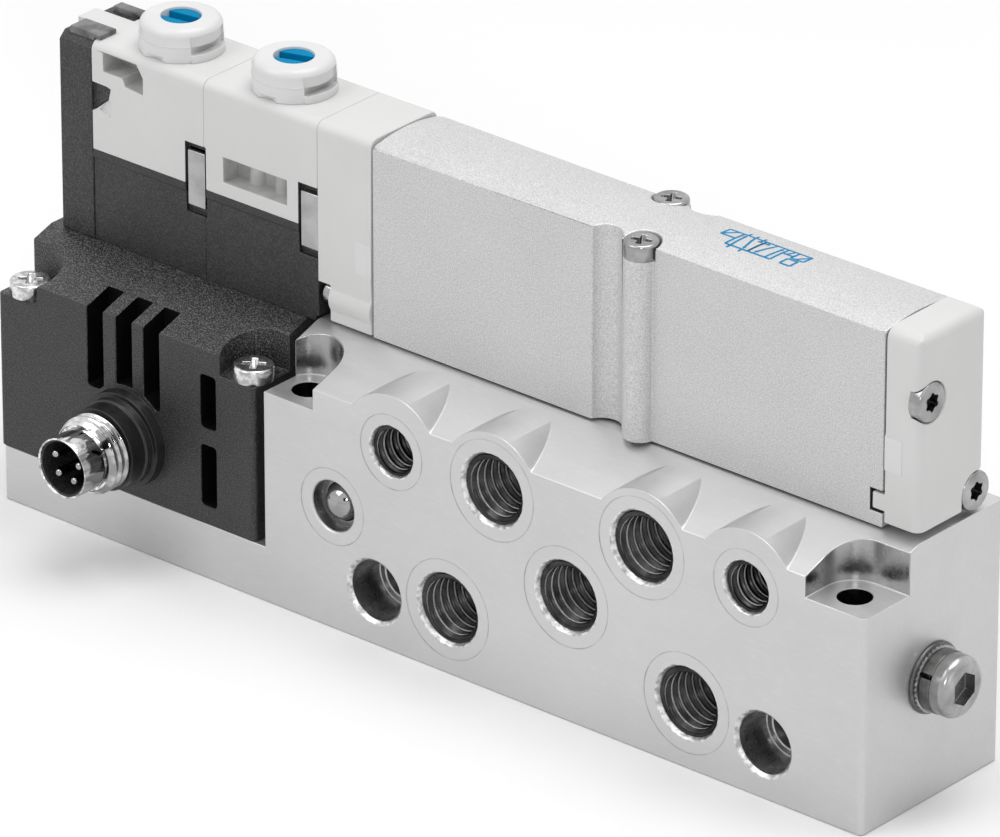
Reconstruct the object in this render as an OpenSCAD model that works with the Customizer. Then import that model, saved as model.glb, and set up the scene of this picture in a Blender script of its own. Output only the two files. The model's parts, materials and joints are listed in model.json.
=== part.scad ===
// Five-port solenoid valve with two pilot heads, on its own ported sub-base.
// +X runs from the pilots to the end cap, +Y from the port face to the back, +Z up.
// The origin is the centre of the sub-base's underside.

/* [Sub-base] */
// Length of the sub-base
base_l = 109; // [105:1:120]
// Depth of the sub-base, front to back
base_w = 20.5; // [19.5:0.5:24]
// Height of the sub-base under the valve
base_h = 27.5; // [26.5:0.5:31]
// Drop of the sloping strip from the valve's seat to the front face
strip_drop = 2.7; // [2:0.1:3.2]
// Height of the low shelf that carries the plug housing
shelf_h = 5.85; // [5:0.25:7]
// Radius of the sub-base's upright corners
corner_r = 0.6; // [0.3:0.1:1]
// Radius of the milled pockets for the two mounting screws
pocket_r = 3.3; // [3:0.1:3.6]
// Depth of those pockets below the valve's seat
pocket_depth = 4.9; // [4:0.1:7]
// Radius of the mounting screw holes
mount_hole_r = 1.7; // [1.5:0.1:2]
// Distance of the mounting holes from the port face
mount_hole_in = 3.25; // [3:0.05:3.6]

/* [Ports] */
// Distance of the port pattern's centre from the valve body's right end
ports_in = 31.65; // [31:0.05:32]
// Depth of the upper row of ports below the valve's seat
upper_down = 6.2; // [6:0.1:6.6]
// Height of the supply port
supply_z = 13.05; // [12.5:0.1:13.5]
// Height of the exhaust ports
exhaust_z = 6.8; // [6.2:0.1:7.4]
// Half the distance between the two working ports
work_dx = 9.25; // [9:0.05:9.8]
// Half the distance between the two exhaust ports
exhaust_dx = 14.85; // [14.4:0.05:15.2]
// Half the distance between the two pilot ports
pilot_dx = 21.9; // [21.6:0.1:22.2]
// Half the distance between the two cross holes
cross_dx = 24.15; // [23.8:0.05:24.5]
// Height of the cross holes
cross_z = 5.6; // [5:0.1:6.4]
// Radius of the main ports' thread
port_r = 3.5; // [3:0.1:3.6]
// Radius of the pilot ports' thread
pilot_port_r = 2.5; // [2.1:0.1:2.7]
// Depth of the threads
thread_depth = 8; // [7:0.5:8.5]
// Radius of the bosses round the upper ports
boss_r = 6; // [5.8:0.1:6.1]
// Radius of the passages inside the sub-base
passage_r = 1.75; // [1.4:0.05:1.8]
// Radius of the pilot passages
pilot_passage_r = 1.1; // [0.8:0.1:1.3]
// Radius of the ball that seals the cross drilling
ball_r = 2; // [1.7:0.05:2.2]

/* [Valve] */
// Width of the valve
valve_w = 9.8; // [9.8:0.1:10.2]
// Place of the valve's centre line, behind the sub-base's centre
valve_y = 2.55; // [2:0.05:3]
// Length of the valve body
body_l = 62.7; // [62:0.1:64]
// Gap between the valve body and the sub-base
body_lift = 0.2; // [0.1:0.05:0.3]
// Height of the valve body at its side edges
body_side_h = 20.1; // [19.8:0.1:21]
// Rise of the crowned top
crown = 0.6; // [0.3:0.1:0.9]
// Thickness of the end cap
cap_t = 4.15; // [4:0.05:4.3]
// Length of the adapter between the pilots and the body
adapter_l = 6.85; // [6.8:0.05:7.4]
// Height of the spool's axis above the valve body's underside
spool_up = 10.5; // [10.3:0.1:10.8]
// Radius of the spool bore
bore_r = 3.2; // [3:0.05:3.25]
// Travel of the spool
spool_travel = 1.7; // [1:0.1:1.7]
// Radial clearance of everything that slides or turns in a bore
run_gap = 0.06; // [0.03:0.01:0.09]
// Radius of the captive screws' heads
captive_head_r = 1.75; // [1.6:0.05:1.85]
// Radius of the captive screws' shanks
captive_r = 0.95; // [0.8:0.05:1]

/* [Pilots] */
// Length of one pilot head along the valve
pilot_l = 14.65; // [14.4:0.05:15]
// Height of the seam between coil housing and pilot cover, above the valve body's underside
seam_up = 9.15; // [8.8:0.05:9.6]
// Rise of the flat tops of pilots, adapter and end cap above the valve body's side edges
top_rise = 0.6; // [0.2:0.1:1]
// Thickness of the plate that closes the pilots' outer end
end_plate_t = 4.25; // [4:0.05:4.4]
// Travel of the manual override
override_travel = 1; // [0.6:0.1:1.1]
// Travel of the armatures
armature_travel = 0.4; // [0.2:0.05:0.5]
// Radius of the armatures and pole cores
armature_r = 2; // [1.8:0.05:2.1]
// Radius of the override caps
override_cap_r = 4.1; // [4:0.05:4.2]
// Height of the override caps
override_cap_h = 3.4; // [3.2:0.1:3.8]
// Radius of the override buttons
button_r = 1.95; // [1.8:0.05:2]

/* [Plug housing] */
// Drop of the plug housing's sloping top to its front face
plug_drop = 2.6; // [2:0.1:3.2]
// Width of the gap between the plug housing and the sub-base's step
plug_gap = 1.3; // [0.8:0.1:1.6]
// Radius of the connector's outer thread
connector_r = 4; // [3.9:0.05:4.1]
// How far the connector stands out of the front face
connector_out = 9.5; // [9:0.1:10.5]
// Distance of the connector from the plug housing's left end
connector_in = 17.1; // [16.9:0.1:17.3]
// Height of the connector's axis
connector_z = 12.1; // [11.8:0.1:12.4]
// Thickness of the circuit board
board_t = 1.2; // [1:0.1:1.6]

/* [Hidden] */

$fn = 48;
// Overlap of cutters past the faces that they cut
eps = 0.5;

// Sub-base
front_y = -base_w / 2;
left_x = -base_l / 2;
right_x = base_l / 2;
valve_front = valve_y - valve_w / 2;
valve_back = valve_y + valve_w / 2;
seal_t = 0.2;
cap_in = 0.1;
body_x1 = right_x - cap_in - cap_t - seal_t;
body_x0 = body_x1 - body_l;
adapter_x0 = body_x0 - seal_t - adapter_l;
// The low shelf ends just short of the adapter
step_gap = 0.1;
step_x = adapter_x0 - step_gap;
ports_x = body_x1 - ports_in;
upper_z = base_h - upper_down;
base_front_h = base_h - strip_drop;
pocket_floor = base_h - pocket_depth;
left_hole_in = 3;
right_hole_in = 3.8;
left_hole_x = step_x + left_hole_in;
right_hole_x = right_x - right_hole_in;
mount_hole_y = front_y + mount_hole_in;
ball_dx = 29.45;
ball_x = ports_x - ball_dx;
ball_in = 2.1;
ball_recess_r = 2.65;
ball_recess_depth = 1.5;
ball_recess_chamfer = 0.2;
// Spot faces round the holes of the front face
spot_depth = 0.02;
spot_r = 5.2;
pilot_spot_r = 3.9;
ball_spot_r = 4;
lead_in = 0.65;
lead_in_grow = 1.1;
core_r = port_r - 0.5;
pilot_core_r = pilot_port_r - 0.4;
cross_r = 1.7;
cross_head_r = 3.1;
cross_head_depth = 4.4;
cross_chamfer_r = 3.5;
cross_seat = 0.7;
earth_z = 12.75;
earth_r = 1.45;
earth_depth = 8;
// The ports: place from the pattern's centre, height, thread radius, core radius, passage radius
ports = [[-work_dx, upper_z, port_r, core_r, passage_r], [work_dx, upper_z, port_r, core_r, passage_r],
         [0, supply_z, port_r, core_r, passage_r],
         [-exhaust_dx, exhaust_z, port_r, core_r, passage_r], [exhaust_dx, exhaust_z, port_r, core_r, passage_r],
         [-pilot_dx, upper_z, pilot_port_r, pilot_core_r, pilot_passage_r],
         [pilot_dx, upper_z, pilot_port_r, pilot_core_r, pilot_passage_r]];

// Valve body
body_z = base_h + body_lift;
body_side_z = body_z + body_side_h;
body_top_z = body_side_z + crown;
spool_z = body_z + spool_up;
captive_y = valve_w / 2 - 0.35;
captive_in = 29.5;
captive_x = body_x1 - captive_in;
captive_pitch = 3.9;
column_r = 1.75;
captive_head_h = 1.65;
captive_seat_z = body_side_z - 1.3;
captive_end_z = base_h - 5;
nest_r = 2;
nest_out = 0.75;
gasket_half = 3.2;
gasket_x0 = ports_x - pilot_dx - 3;
gasket_x1 = ports_x + pilot_dx + 3;
gasket_t = 0.5;
// Screws of the end cap: place from the valve's centre line and height above the body's underside
cap_screws = [[-3.26, 13.7], [3.65, 2.0]];
cap_screw_r = 1;
cap_screw_head_r = 2;
cap_screw_head_h = 1.3;
cap_screw_edge = 0.3;
cap_screw_gap = 0.08;
cap_screw_sink = [1.25, 1.25];
cap_screw_l = 6;
// Screws of the adapter, in the same form
adapter_screws_at = [[-3.3, 2.4], [3.1, 16]];
adapter_head_r = 1.4;
adapter_head_h = 1.3;
adapter_notch = [1.55, 3.75];
adapter_lift = 0.1;
adapter_boss_r = 1.95;
cap_lift = 0.6;
cap_end_r = 1.1;
latch_l = 1.2;
latch_h = 1.7;
latch_up = 1.75;
latch_depth = 0.9;
latch_gap = 0.3;
// Spool and pistons, along X from the body's left end
piston_r = 3.5;
piston_bore_r = piston_r + run_gap;
piston_l = 3.4;
small_piston_r = 3.1;
small_bore_r = small_piston_r + run_gap;
piston_left_x = body_x0 - piston_l;
piston_right_x = body_x1 - 3.2;
piston_gap = 0.2;
spool_x0 = body_x0;
spool_x1 = piston_right_x;
land_r = bore_r - run_gap;
land_w = 3;
neck_r = 1.7;
groove_r = 2.4;
groove_w = 1.1;
lands_x = [-22.5, -12.05, -4.6, 4.65, 12.1, 22.5];
gallery_r = 0.75;
gallery_up = 3.4;
gallery_in = 1.4;

// Pilots
seam_z = body_z + seam_up;
top_z = body_side_z + top_rise;
inner_x0 = adapter_x0 - pilot_l;
outer_x0 = inner_x0 - pilot_l;
pilot_y = 2.3;
pilot_dx_axis = pilot_l / 2 + 0.35;
plug_top_z = base_h - 0.35;
coil_z = plug_top_z;
coil_wall = 0.7;
coil_floor = 1;
bobbin_r = 4.05;
bobbin_flange = 0.7;
bobbin_tube_r = armature_r + 0.55;
winding_r = 3.85;
core_top_z = coil_z + coil_floor + 3.6;
armature_z = core_top_z + armature_travel + 0.1;
armature_h = 5.2;
armature_top_z = armature_z + armature_h;
stop_gap = 0.05;
spring_hole_r = 1.15;
spring_hole_depth = 2.4;
wire_r = 0.16;
coil_pin_r = 0.3;
coil_pin_gap = 0.1;
coil_pin_dx = 3.3;
coil_pin_in = 1;
armature_spring_r = 0.85;
override_spring_r = 1.35;
spring_pocket_r = 1.75;
spring_pocket_z = top_z - 3;
collar_r = 2.5;
collar_pocket_r = collar_r + 0.15;
collar_z = top_z + 0.65;
collar_h = 0.9;
collar_pocket_z = collar_z - override_travel - 0.25;
plunger_r = 0.9;
button_z = collar_z + collar_h + stop_gap;
button_down = 0.2;
button_top = top_z + override_cap_h - button_down;
button_stem_r = 0.7;
button_stem_l = 0.8;
slot_w = 1.3;
slot_depth = 0.95;
slot_turn = [9, 18];
cap_bore_r = button_r + run_gap;
cap_hollow_r = 2.9;
cap_dome = 0.9;
cap_shoulder = 0.75;
cap_recess = 0.2;
cap_foot_h = 0.85;
cap_foot_out = 0.25;
cap_window_half = 2.35;
cap_window_z = 1.55;
cap_band_h = 1.7;
cap_band_out = 0.05;
slit_in = 0.85;
relief_dx = 0.1;
relief_r = 2;
relief_h = 0.55;
clip_w = 2.25;
clip_z0 = seam_z - 2.25;
clip_z1 = seam_z + 3.65;
clip_t = 0.5;
clip_sink = 0.1;
clip_margin = 0.8;
clip_leg = 1.3;
clip_side = 0.2;
relief_down = 2.4;
recess_depth = 2.9;
recess_points = [[0, -0.9], [4.4, -0.9], [5.2, -2.1], [5.2, -3.9], [2.9, -3.7], [2.5, -2.9], [0, -2.9]];
snap_depth = 1.4;
snap_gap = 0.05;
snap_in = 0.35;
snap_points = [[0.5, -4.4], [1.9, -4.45], [2.4, -4.6], [2.1, -5.7], [0.2, -7.3]];
snap_shade = [[0.9, -7.1], [2.1, -5.75], [2.45, -5.85], [2.45, -7.6]];
shade_depth = 0.3;
tongue_out = 0.8;
tongue_half = 1.3;
tongue_t = 2;
tongue_gap = 0.2;
hook_h = 0.5;
hook_in = 0.9;
plate_drop = 0.15;
hook_reach = 0.75;
// The two hooks across the valve, from its centre line
hooks = [[-4.3, -1.95], [1.95, 3.2]];
window = [2.45, 10.7, 1.5, 4.15];
window_depth = 2.4;
window_rib_r = 0.9;
window_ribs = [2.6, 5.9];

// Plug housing and connector
plug_x0 = left_x - 0.3;
plug_x1 = step_x - plug_gap;
plug_front_z = plug_top_z - plug_drop;
plug_pocket_z = plug_top_z - 4.75;
plug_screw_in = 2;
plug_screws_x = [plug_x0 + 2.6, plug_x1 - 1.7];
pocket_reach = 2.6;
plug_screw_y = front_y + plug_screw_in;
plug_screw_end_z = 1.6;
housing_head_r = 2.05;
housing_head_h = 1.55;
housing_screw_r = 1.1;
groove_x = [11.9, 15.7, 19.3];
groove_width = 2.1;
groove_depth = 3.3;
groove_floor = plug_top_z - 11.15;
slot_in = 4.95;
slot_width = 2;
slots_z = [[plug_front_z - 8.3, plug_front_z - 2.6], [shelf_h + 2, shelf_h + 8.55]];
slot_recess = 2.2;
plug_wall = 1.6;
plug_front_wall = 6;
cavity_x0 = plug_x0 + plug_wall;
cavity_x1 = plug_x1 - plug_wall;
cavity_y0 = front_y + plug_front_wall;
cavity_y1 = base_w / 2 - plug_wall;
cavity_z1 = plug_top_z - plug_wall;
connector_x = plug_x0 + connector_in;
// Steps of the boss round the connector: radius and how far each stands out
boss_step = [[connector_r + 1, 1.25], [connector_r + 0.5, 2.1], [connector_r + 0.3, 4.0]];
boss_pad_r = connector_r + 1.4;
sleeve_r = 3.4;
sleeve_front_r = 3.13;
sleeve_bore_r = 2.9;
sleeve_front_l = 3.1;
thread_back = 4;
// How far the sleeve reaches into the plug housing
sleeve_end = 3;
insert_face = 4.5;
insert_lip = 0.25;
insert_wall = 0.15;
pin_r = 0.5;
pin_tip = 0.45;
pins_at = [[-1.5, 0.87], [1.6, 0.5], [-1.09, -1.05], [0.94, -1.32]];
board_y = cavity_y0;
board_margin = 0.5;
terminal_z1 = cavity_z1 - 0.4;
terminal_h = 2.2;
terminal_half = 2;
terminal_back = pilot_y + terminal_half;

// A cylinder along X from x0, and one along Y from y0
module rod_x(x0, l, r) {
    translate([x0, 0, 0]) rotate([0, 90, 0]) cylinder(h = l, r = r);
}

module rod_y(y0, l, r) {
    translate([0, y0, 0]) rotate([-90, 0, 0]) cylinder(h = l, r = r);
}

// A cone along Y that narrows from r0 at y0 to r1
module cone_y(y0, l, r0, r1) {
    translate([0, y0, 0]) rotate([-90, 0, 0]) cylinder(h = l, r1 = r0, r2 = r1);
}

// A plate with round upright corners
module rounded_block(x0, x1, y0, y1, z0, z1, r) {
    translate([0, 0, z0]) linear_extrude(z1 - z0) {
        translate([x0 + r, y0]) square([x1 - x0 - 2 * r, y1 - y0]);
        translate([x0, y0 + r]) square([x1 - x0, y1 - y0 - 2 * r]);
        for (x = [x0 + r, x1 - r], y = [y0 + r, y1 - r])
            translate([x, y]) circle(r = r, $fn = 24);
    }
}

module box(x0, x1, y0, y1, z0, z1) {
    translate([x0, y0, z0]) cube([x1 - x0, y1 - y0, z1 - z0]);
}

// A helical spring swept along its own axis, with closed ends
module spring(r, w, z0, z1, turns) {
    sides = 8;
    steps = 14 * turns;
    h = z1 - z0 - 2 * w;
    points = [for (k = [0 : steps], i = [0 : sides - 1])
        let (a = 360 * turns * k / steps, p = 360 * i / sides, q = r + w * cos(p))
        [q * cos(a), q * sin(a), z0 + w + h * k / steps + w * sin(p)]];
    side_faces = [for (k = [0 : steps - 1], i = [0 : sides - 1])
        let (a = k * sides + i, b = k * sides + (i + 1) % sides)
        [a, a + sides, b + sides, b]];
    ends = [[for (i = [0 : sides - 1]) i], [for (i = [sides - 1 : -1 : 0]) steps * sides + i]];
    polyhedron(points = points, faces = concat(side_faces, ends), convexity = 4);
}

// Sub-base
module port_hole(p) {
    translate([ports_x + p[0], 0, p[1]]) {
        rod_y(front_y - eps, spot_depth + eps, p[2] < port_r ? pilot_spot_r : spot_r);
        rod_y(front_y - eps, thread_depth + eps, p[2]);
        cone_y(front_y, lead_in, p[2] * lead_in_grow, p[2]);
        rod_y(front_y - eps, valve_y - front_y + p[4] + eps, p[3]);
    }
    translate([ports_x + p[0], valve_y, p[1]]) cylinder(h = base_h - p[1] + eps, r = p[4]);
}

module cross_hole(x) {
    translate([x, 0, cross_z]) {
        rod_y(front_y - eps, base_w + 2 * eps, cross_r);
        rod_y(front_y - eps, cross_head_depth + eps, cross_head_r);
        cone_y(front_y, cross_chamfer_r - cross_head_r, cross_chamfer_r, cross_head_r);
        cone_y(front_y + cross_head_depth, cross_seat, cross_r + cross_seat, cross_r);
    }
}

module base_profile() {
    rotate([90, 0, 90]) translate([0, 0, left_x]) linear_extrude(base_l)
        polygon([[front_y, 0], [-front_y, 0], [-front_y, base_h], [valve_front, base_h], [front_y, base_front_h]]);
}

module sub_base() color("silver") difference() {
    intersection() {
        union() {
            base_profile();
            for (dx = [-pilot_dx, -work_dx, work_dx, pilot_dx])
                translate([ports_x + dx, 0, upper_z]) rod_y(front_y, valve_front - front_y, boss_r);
        }
        rounded_block(left_x, right_x, front_y, -front_y, 0, base_h, corner_r);
    }
    box(left_x - eps, step_x, front_y - eps, eps - front_y, shelf_h, base_h + eps);
    for (p = ports) port_hole(p);
    for (s = [-1, 1]) cross_hole(ports_x + s * cross_dx);
    // Mounting holes in their pockets, open to the front and to the ends
    for (x = [left_hole_x, right_hole_x]) {
        translate([x, mount_hole_y, -eps]) cylinder(h = base_h + 2 * eps, r = mount_hole_r);
        translate([x, mount_hole_y, pocket_floor]) cylinder(h = base_h, r = pocket_r);
        box(x - pocket_r, x + pocket_r, front_y - eps, mount_hole_y, pocket_floor, base_h + eps);
    }
    box(right_hole_x, right_x + eps, front_y - eps, mount_hole_y + pocket_r, pocket_floor, base_h + eps);
    // Drilling that the ball seals
    translate([ball_x, 0, supply_z]) {
        rod_y(front_y - eps, valve_y - front_y + pilot_passage_r + eps, ball_r - 0.25);
        rod_y(front_y - eps, ball_in + ball_r + eps, ball_r);
        rod_y(front_y - eps, ball_recess_depth + eps, ball_recess_r);
        rod_y(front_y - eps, spot_depth + eps, ball_spot_r);
        cone_y(front_y, ball_recess_chamfer, ball_recess_r + ball_recess_chamfer, ball_recess_r);
    }
    // Threads of the captive screws, the earth screw and the plug housing's screws
    for (s = [-1, 1])
        translate([captive_x - (s + 1) / 2 * captive_pitch, valve_y + s * captive_y, captive_end_z - 0.5])
            cylinder(h = base_h, r = captive_r);
    translate([0, 0, earth_z]) rod_x(right_x - earth_depth, earth_depth + eps, earth_r);
    for (x = plug_screws_x) translate([x, plug_screw_y, 1]) cylinder(h = base_h, r = housing_screw_r);
}

module sealing_ball() color("gainsboro")
    translate([ball_x, front_y + ball_in, supply_z]) sphere(r = ball_r);

// Valve body
module crown_cut(x0, l) {
    half = valve_w / 2;
    crown_r = (half * half + crown * crown) / (2 * crown);
    translate([0, valve_y, body_top_z - crown_r]) rod_x(x0, l, crown_r, $fn = 96);
}

module gasket_outline(grow) {
    r = 1;
    rounded_block(gasket_x0 - grow, gasket_x1 + grow, valve_y - gasket_half - grow, valve_y + gasket_half + grow,
                  base_h, base_h + gasket_t, r + grow);
}

// Ways up from the ports, to one height for the main ports and another for the pilot ports
module port_risers(main_h, pilot_h, more) {
    for (p = ports) {
        h = p[2] < port_r ? pilot_h : main_h;
        translate([ports_x + p[0], valve_y, base_h - eps]) cylinder(h = h + eps, r = p[4] + more);
    }
}

module valve_body() color("lightgray") difference() {
    union() {
        intersection() {
            box(body_x0, body_x1, valve_front, valve_back, body_z, body_top_z);
            crown_cut(body_x0, body_l);
        }
        // Screw columns that stand out of the sides, with flat tops below the screw heads
        for (s = [-1, 1])
            translate([captive_x - (s + 1) / 2 * captive_pitch, valve_y + s * captive_y, body_z])
                cylinder(h = captive_seat_z - body_z, r = column_r);
    }
    // Hollows that take the columns of a neighbour
    for (s = [-1, 1])
        translate([captive_x - (1 - s) / 2 * captive_pitch, valve_y + s * (valve_w / 2 + nest_out), body_z - eps])
            cylinder(h = body_side_h + 2 * crown, r = nest_r);
    for (s = [-1, 1])
        translate([captive_x - (s + 1) / 2 * captive_pitch, valve_y + s * captive_y, 0]) {
            translate([0, 0, body_z - eps]) cylinder(h = body_side_h + 2, r = captive_r + 0.1);
            translate([0, 0, captive_seat_z]) cylinder(h = 4, r = captive_head_r + 0.2);
        }
    gasket_outline(0.1);
    port_risers(spool_z - base_h, body_z + gallery_up - base_h, 0);
    // Galleries from the pilot ports to the two ends
    translate([0, valve_y, body_z + gallery_up]) {
        rod_x(body_x0 - eps, ports_x - pilot_dx - body_x0 + eps, gallery_r);
        rod_x(ports_x + pilot_dx, body_x1 - ports_x - pilot_dx + eps, gallery_r);
    }
    translate([0, valve_y, spool_z]) {
        rod_x(body_x0 - eps, body_l + 2 * eps, bore_r);
        rod_x(body_x0 - eps, spool_travel + 1 + eps, piston_bore_r);
        rod_x(body_x1 - 4.6, 4.6 + eps, small_bore_r);
    }
    for (c = cap_screws)
        translate([0, valve_y + c[0], body_z + c[1]]) rod_x(body_x1 - cap_screw_l, cap_screw_l + eps, cap_screw_r);
    for (c = adapter_screws_at)
        translate([0, valve_y + c[0], body_z + c[1]]) rod_x(body_x0 - eps, cap_screw_l + eps, cap_screw_r);
    latch_notch(latch_gap);
}

// Notch at the body's lower right corner and the tab of the cap that sits in it
module latch_notch(gap) {
    tab_z = body_z + latch_up;
    out = gap > 0 ? eps : 0;
    box(body_x1 - latch_l - gap, body_x1 + seal_t + eps - out, valve_front - out, valve_front + latch_depth + gap,
        tab_z - gap, tab_z + latch_h + gap);
}

module base_gasket() color("dimgray") difference() {
    gasket_outline(0);
    port_risers(gasket_t + eps, gasket_t + eps, 0.1);
}

// Round of a pan head's edge
pan_edge = 0.3;

module pan_screw(head_r, head_h, r, l, recess_r, recess_depth) {
    difference() {
        union() {
            round_head(head_r, head_h, pan_edge);
            translate([0, 0, -l]) cylinder(h = l, r = r);
        }
        cross_recess(head_h, recess_r, recess_depth);
    }
}

// Flat head with a round edge, which is never higher than half the head
module round_head(r, h, edge) {
    e = min(edge, h / 2);
    cylinder(h = h - e, r = r);
    rotate_extrude() {
        translate([0, h - e - e]) square([r - e, 2 * e]);
        translate([r - e, h - e]) circle(r = e, $fn = 40);
    }
}

// Cross whose arms get shallower towards their ends
module cross_recess(top, r, depth) {
    w = r * 0.45;
    intersection() {
        union() for (a = [0, 90]) rotate([0, 0, a]) box(-r, r, -w / 2, w / 2, top - depth, top + eps);
        translate([0, 0, top - depth]) cylinder(h = depth + eps, r1 = r * 0.5, r2 = r);
    }
}

module captive_screws() color("silver") {
    for (s = [-1, 1])
        translate([captive_x - (s + 1) / 2 * captive_pitch, valve_y + s * captive_y, captive_seat_z])
            rotate([0, 0, 20])
                pan_screw(captive_head_r, captive_head_h, captive_r - 0.04, captive_seat_z - captive_end_z,
                          1.3, 0.9);
}

// End cap with its soft upper edges
cap_x0 = body_x1 + seal_t;
cap_x1 = cap_x0 + cap_t;

// Small raised pad on the front, as the moulds leave it
pad_l = 2;
pad_h = 3.5;
pad_out = 0.04;
pad_up = 6.1;

module side_pad(x0) {
    box(x0, x0 + pad_l, valve_front - pad_out, valve_front + eps, body_z + pad_up, body_z + pad_up + pad_h);
}

module end_cap() color("white") difference() {
    union() {
        intersection() {
            rounded_block(cap_x0 - 2, cap_x1, valve_front, valve_back, body_z + cap_lift, top_z, 1);
            box(cap_x0, cap_x1, valve_front - eps, valve_back + eps, body_z, top_z);
            soft_top(cap_x0, cap_x1, 1.3);
            soft_end();
        }
        latch_notch(0);
        side_pad(cap_x0);
    }
    translate([0, valve_y, spool_z]) rod_x(cap_x0 - eps, 2.5 + eps, small_bore_r);
    translate([0, valve_y, body_z + gallery_up]) rod_x(cap_x0 - eps, gallery_in + eps, gallery_r);
    translate([cap_x0 + gallery_in - gallery_r, valve_y, body_z + gallery_up]) cylinder(h = 4.5, r = gallery_r);
    for (i = [0, 1]) {
        c = cap_screws[i];
        translate([0, valve_y + c[0], body_z + c[1]]) {
            rod_x(cap_x0 - eps, cap_t + 2 * eps, cap_screw_r + 0.05);
            rod_x(cap_x1 - cap_screw_sink[i], cap_t, cap_screw_head_r + cap_screw_gap);
        }
    }
    // The upper screw's seat breaks out through the front, the lower one's through the corner
    box(cap_x1 - cap_screw_sink[0], cap_x1 - 0.35, valve_front - eps, valve_y + cap_screws[0][0],
        body_z + cap_screws[0][1] - 1.1, body_z + cap_screws[0][1] + 1.1);
    box(cap_x1 - cap_screw_sink[1], cap_x1 + eps, valve_y + cap_screws[1][0], valve_back + eps,
        body_z - eps, body_z + cap_screws[1][1] + cap_screw_head_r + cap_screw_gap);
    box(cap_x1 - cap_screw_sink[1], cap_x1 + eps, valve_y + cap_screws[1][0] - cap_screw_head_r - cap_screw_gap,
        valve_back + eps, body_z - eps, body_z + cap_screws[1][1]);
}

// Block with a round upper edge at the valve's right end
module soft_end() {
    translate([0, valve_back + eps, 0]) rotate([90, 0, 0]) linear_extrude(valve_w + 2 * eps) {
        translate([cap_x0, 0]) square([cap_t, top_z - cap_end_r]);
        translate([cap_x0, 0]) square([cap_t - cap_end_r, top_z]);
        translate([cap_x1 - cap_end_r, top_z - cap_end_r]) circle(r = cap_end_r, $fn = 48);
    }
}

// Block with round upper edges at the sides
module soft_top(x0, x1, r) {
    rotate([90, 0, 90]) translate([0, 0, x0]) linear_extrude(x1 - x0) {
        translate([valve_front - eps, 0]) square([valve_w + 2 * eps, top_z - r]);
        translate([valve_front + r, 0]) square([valve_w - 2 * r, top_z]);
        for (y = [valve_front + r, valve_back - r]) translate([y, top_z - r]) circle(r = r, $fn = 32);
    }
}

module seal_plate(x0, piston_hole_r) difference() {
    inset = 0.35;
    corner = latch_depth + latch_gap;
    box(x0, x0 + seal_t, valve_front + inset, valve_back - inset, body_z + 1, body_side_z - inset);
    translate([0, valve_y, spool_z]) rod_x(x0 - eps, seal_t + 2 * eps, piston_hole_r);
    translate([0, valve_y, body_z + gallery_up]) rod_x(x0 - eps, seal_t + 2 * eps, gallery_r + 0.1);
    for (c = concat(cap_screws, adapter_screws_at))
        translate([0, valve_y + c[0], body_z + c[1]]) rod_x(x0 - eps, seal_t + 2 * eps, cap_screw_r + 0.1);
    // Corners cut off at the latch and at the lower cap screw
    box(x0 - eps, x0 + seal_t + eps, valve_front - eps, valve_front + corner,
        body_z, body_z + latch_up + latch_h + corner);
    box(x0 - eps, x0 + seal_t + eps, valve_y + cap_screws[1][0], valve_back + eps, body_z, body_z + cap_screws[1][1]);
}

module end_cap_gasket() color("dimgray") seal_plate(body_x1, small_bore_r);

module adapter_gasket() color("dimgray") seal_plate(body_x0 - seal_t, piston_bore_r);

function cap_shank_l(i) = cap_t - cap_screw_sink[i] + cap_screw_l - 1;

// Star drive screws that hold the end cap
module end_cap_screws() color("silver") for (i = [0, 1]) {
    c = cap_screws[i];
    translate([cap_x1 - cap_screw_sink[i], valve_y + c[0], body_z + c[1]]) difference() {
        union() {
            rotate([0, 90, 0]) round_head(cap_screw_head_r, cap_screw_head_h, cap_screw_edge);
            rod_x(-cap_shank_l(i), cap_shank_l(i), cap_screw_r - 0.04);
        }
        star_recess(cap_screw_head_h);
    }
}

module star_recess(top) {
    lobes = 6;
    depth = 0.8;
    translate([top - depth, 0, 0]) rotate([0, 90, 0]) {
        cylinder(h = depth + eps, r = 0.78);
        for (k = [0 : lobes - 1]) rotate([0, 0, 360 / lobes * k]) translate([0.73, 0, 0])
            cylinder(h = depth + eps, r = 0.24, $fn = 16);
    }
}

// Adapter between pilots and valve body
adapter_x1 = adapter_x0 + adapter_l;
adapter_z = body_z + adapter_lift;

module adapter() color("white") difference() {
    union() {
        intersection() {
            box(adapter_x0, adapter_x1, valve_front, valve_back, adapter_z, top_z);
            soft_top(adapter_x0, adapter_x1, 1);
        }
        translate([0, valve_y + adapter_screws_at[0][0], body_z + adapter_screws_at[0][1]])
            rod_x(adapter_x0 + adapter_notch[0], adapter_l - adapter_notch[0], adapter_boss_r);
        side_pad(adapter_x1 - pad_l);
    }
    box(adapter_x0 - eps, adapter_x0 + adapter_notch[0], valve_front - eps, valve_front + 3.4,
        adapter_z - eps, adapter_z + adapter_notch[1]);
    translate([0, valve_y, spool_z]) rod_x(adapter_x1 - piston_l - piston_gap, piston_l + piston_gap + eps, piston_bore_r);
    translate([0, valve_y, body_z + gallery_up]) rod_x(adapter_x1 - gallery_in, gallery_in + eps, gallery_r);
    translate([adapter_x1 - gallery_in + gallery_r, valve_y, body_z + gallery_up]) cylinder(h = 4.5, r = gallery_r);
    for (i = [0, 1]) {
        c = adapter_screws_at[i];
        translate([0, valve_y + c[0], body_z + c[1]]) {
            rod_x(adapter_x0 - eps, adapter_l + 2 * eps, cap_screw_r + 0.05);
            rod_x(adapter_x0 - eps, adapter_notch[0] + eps, adapter_head_r + 0.1);
        }
    }
}

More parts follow.
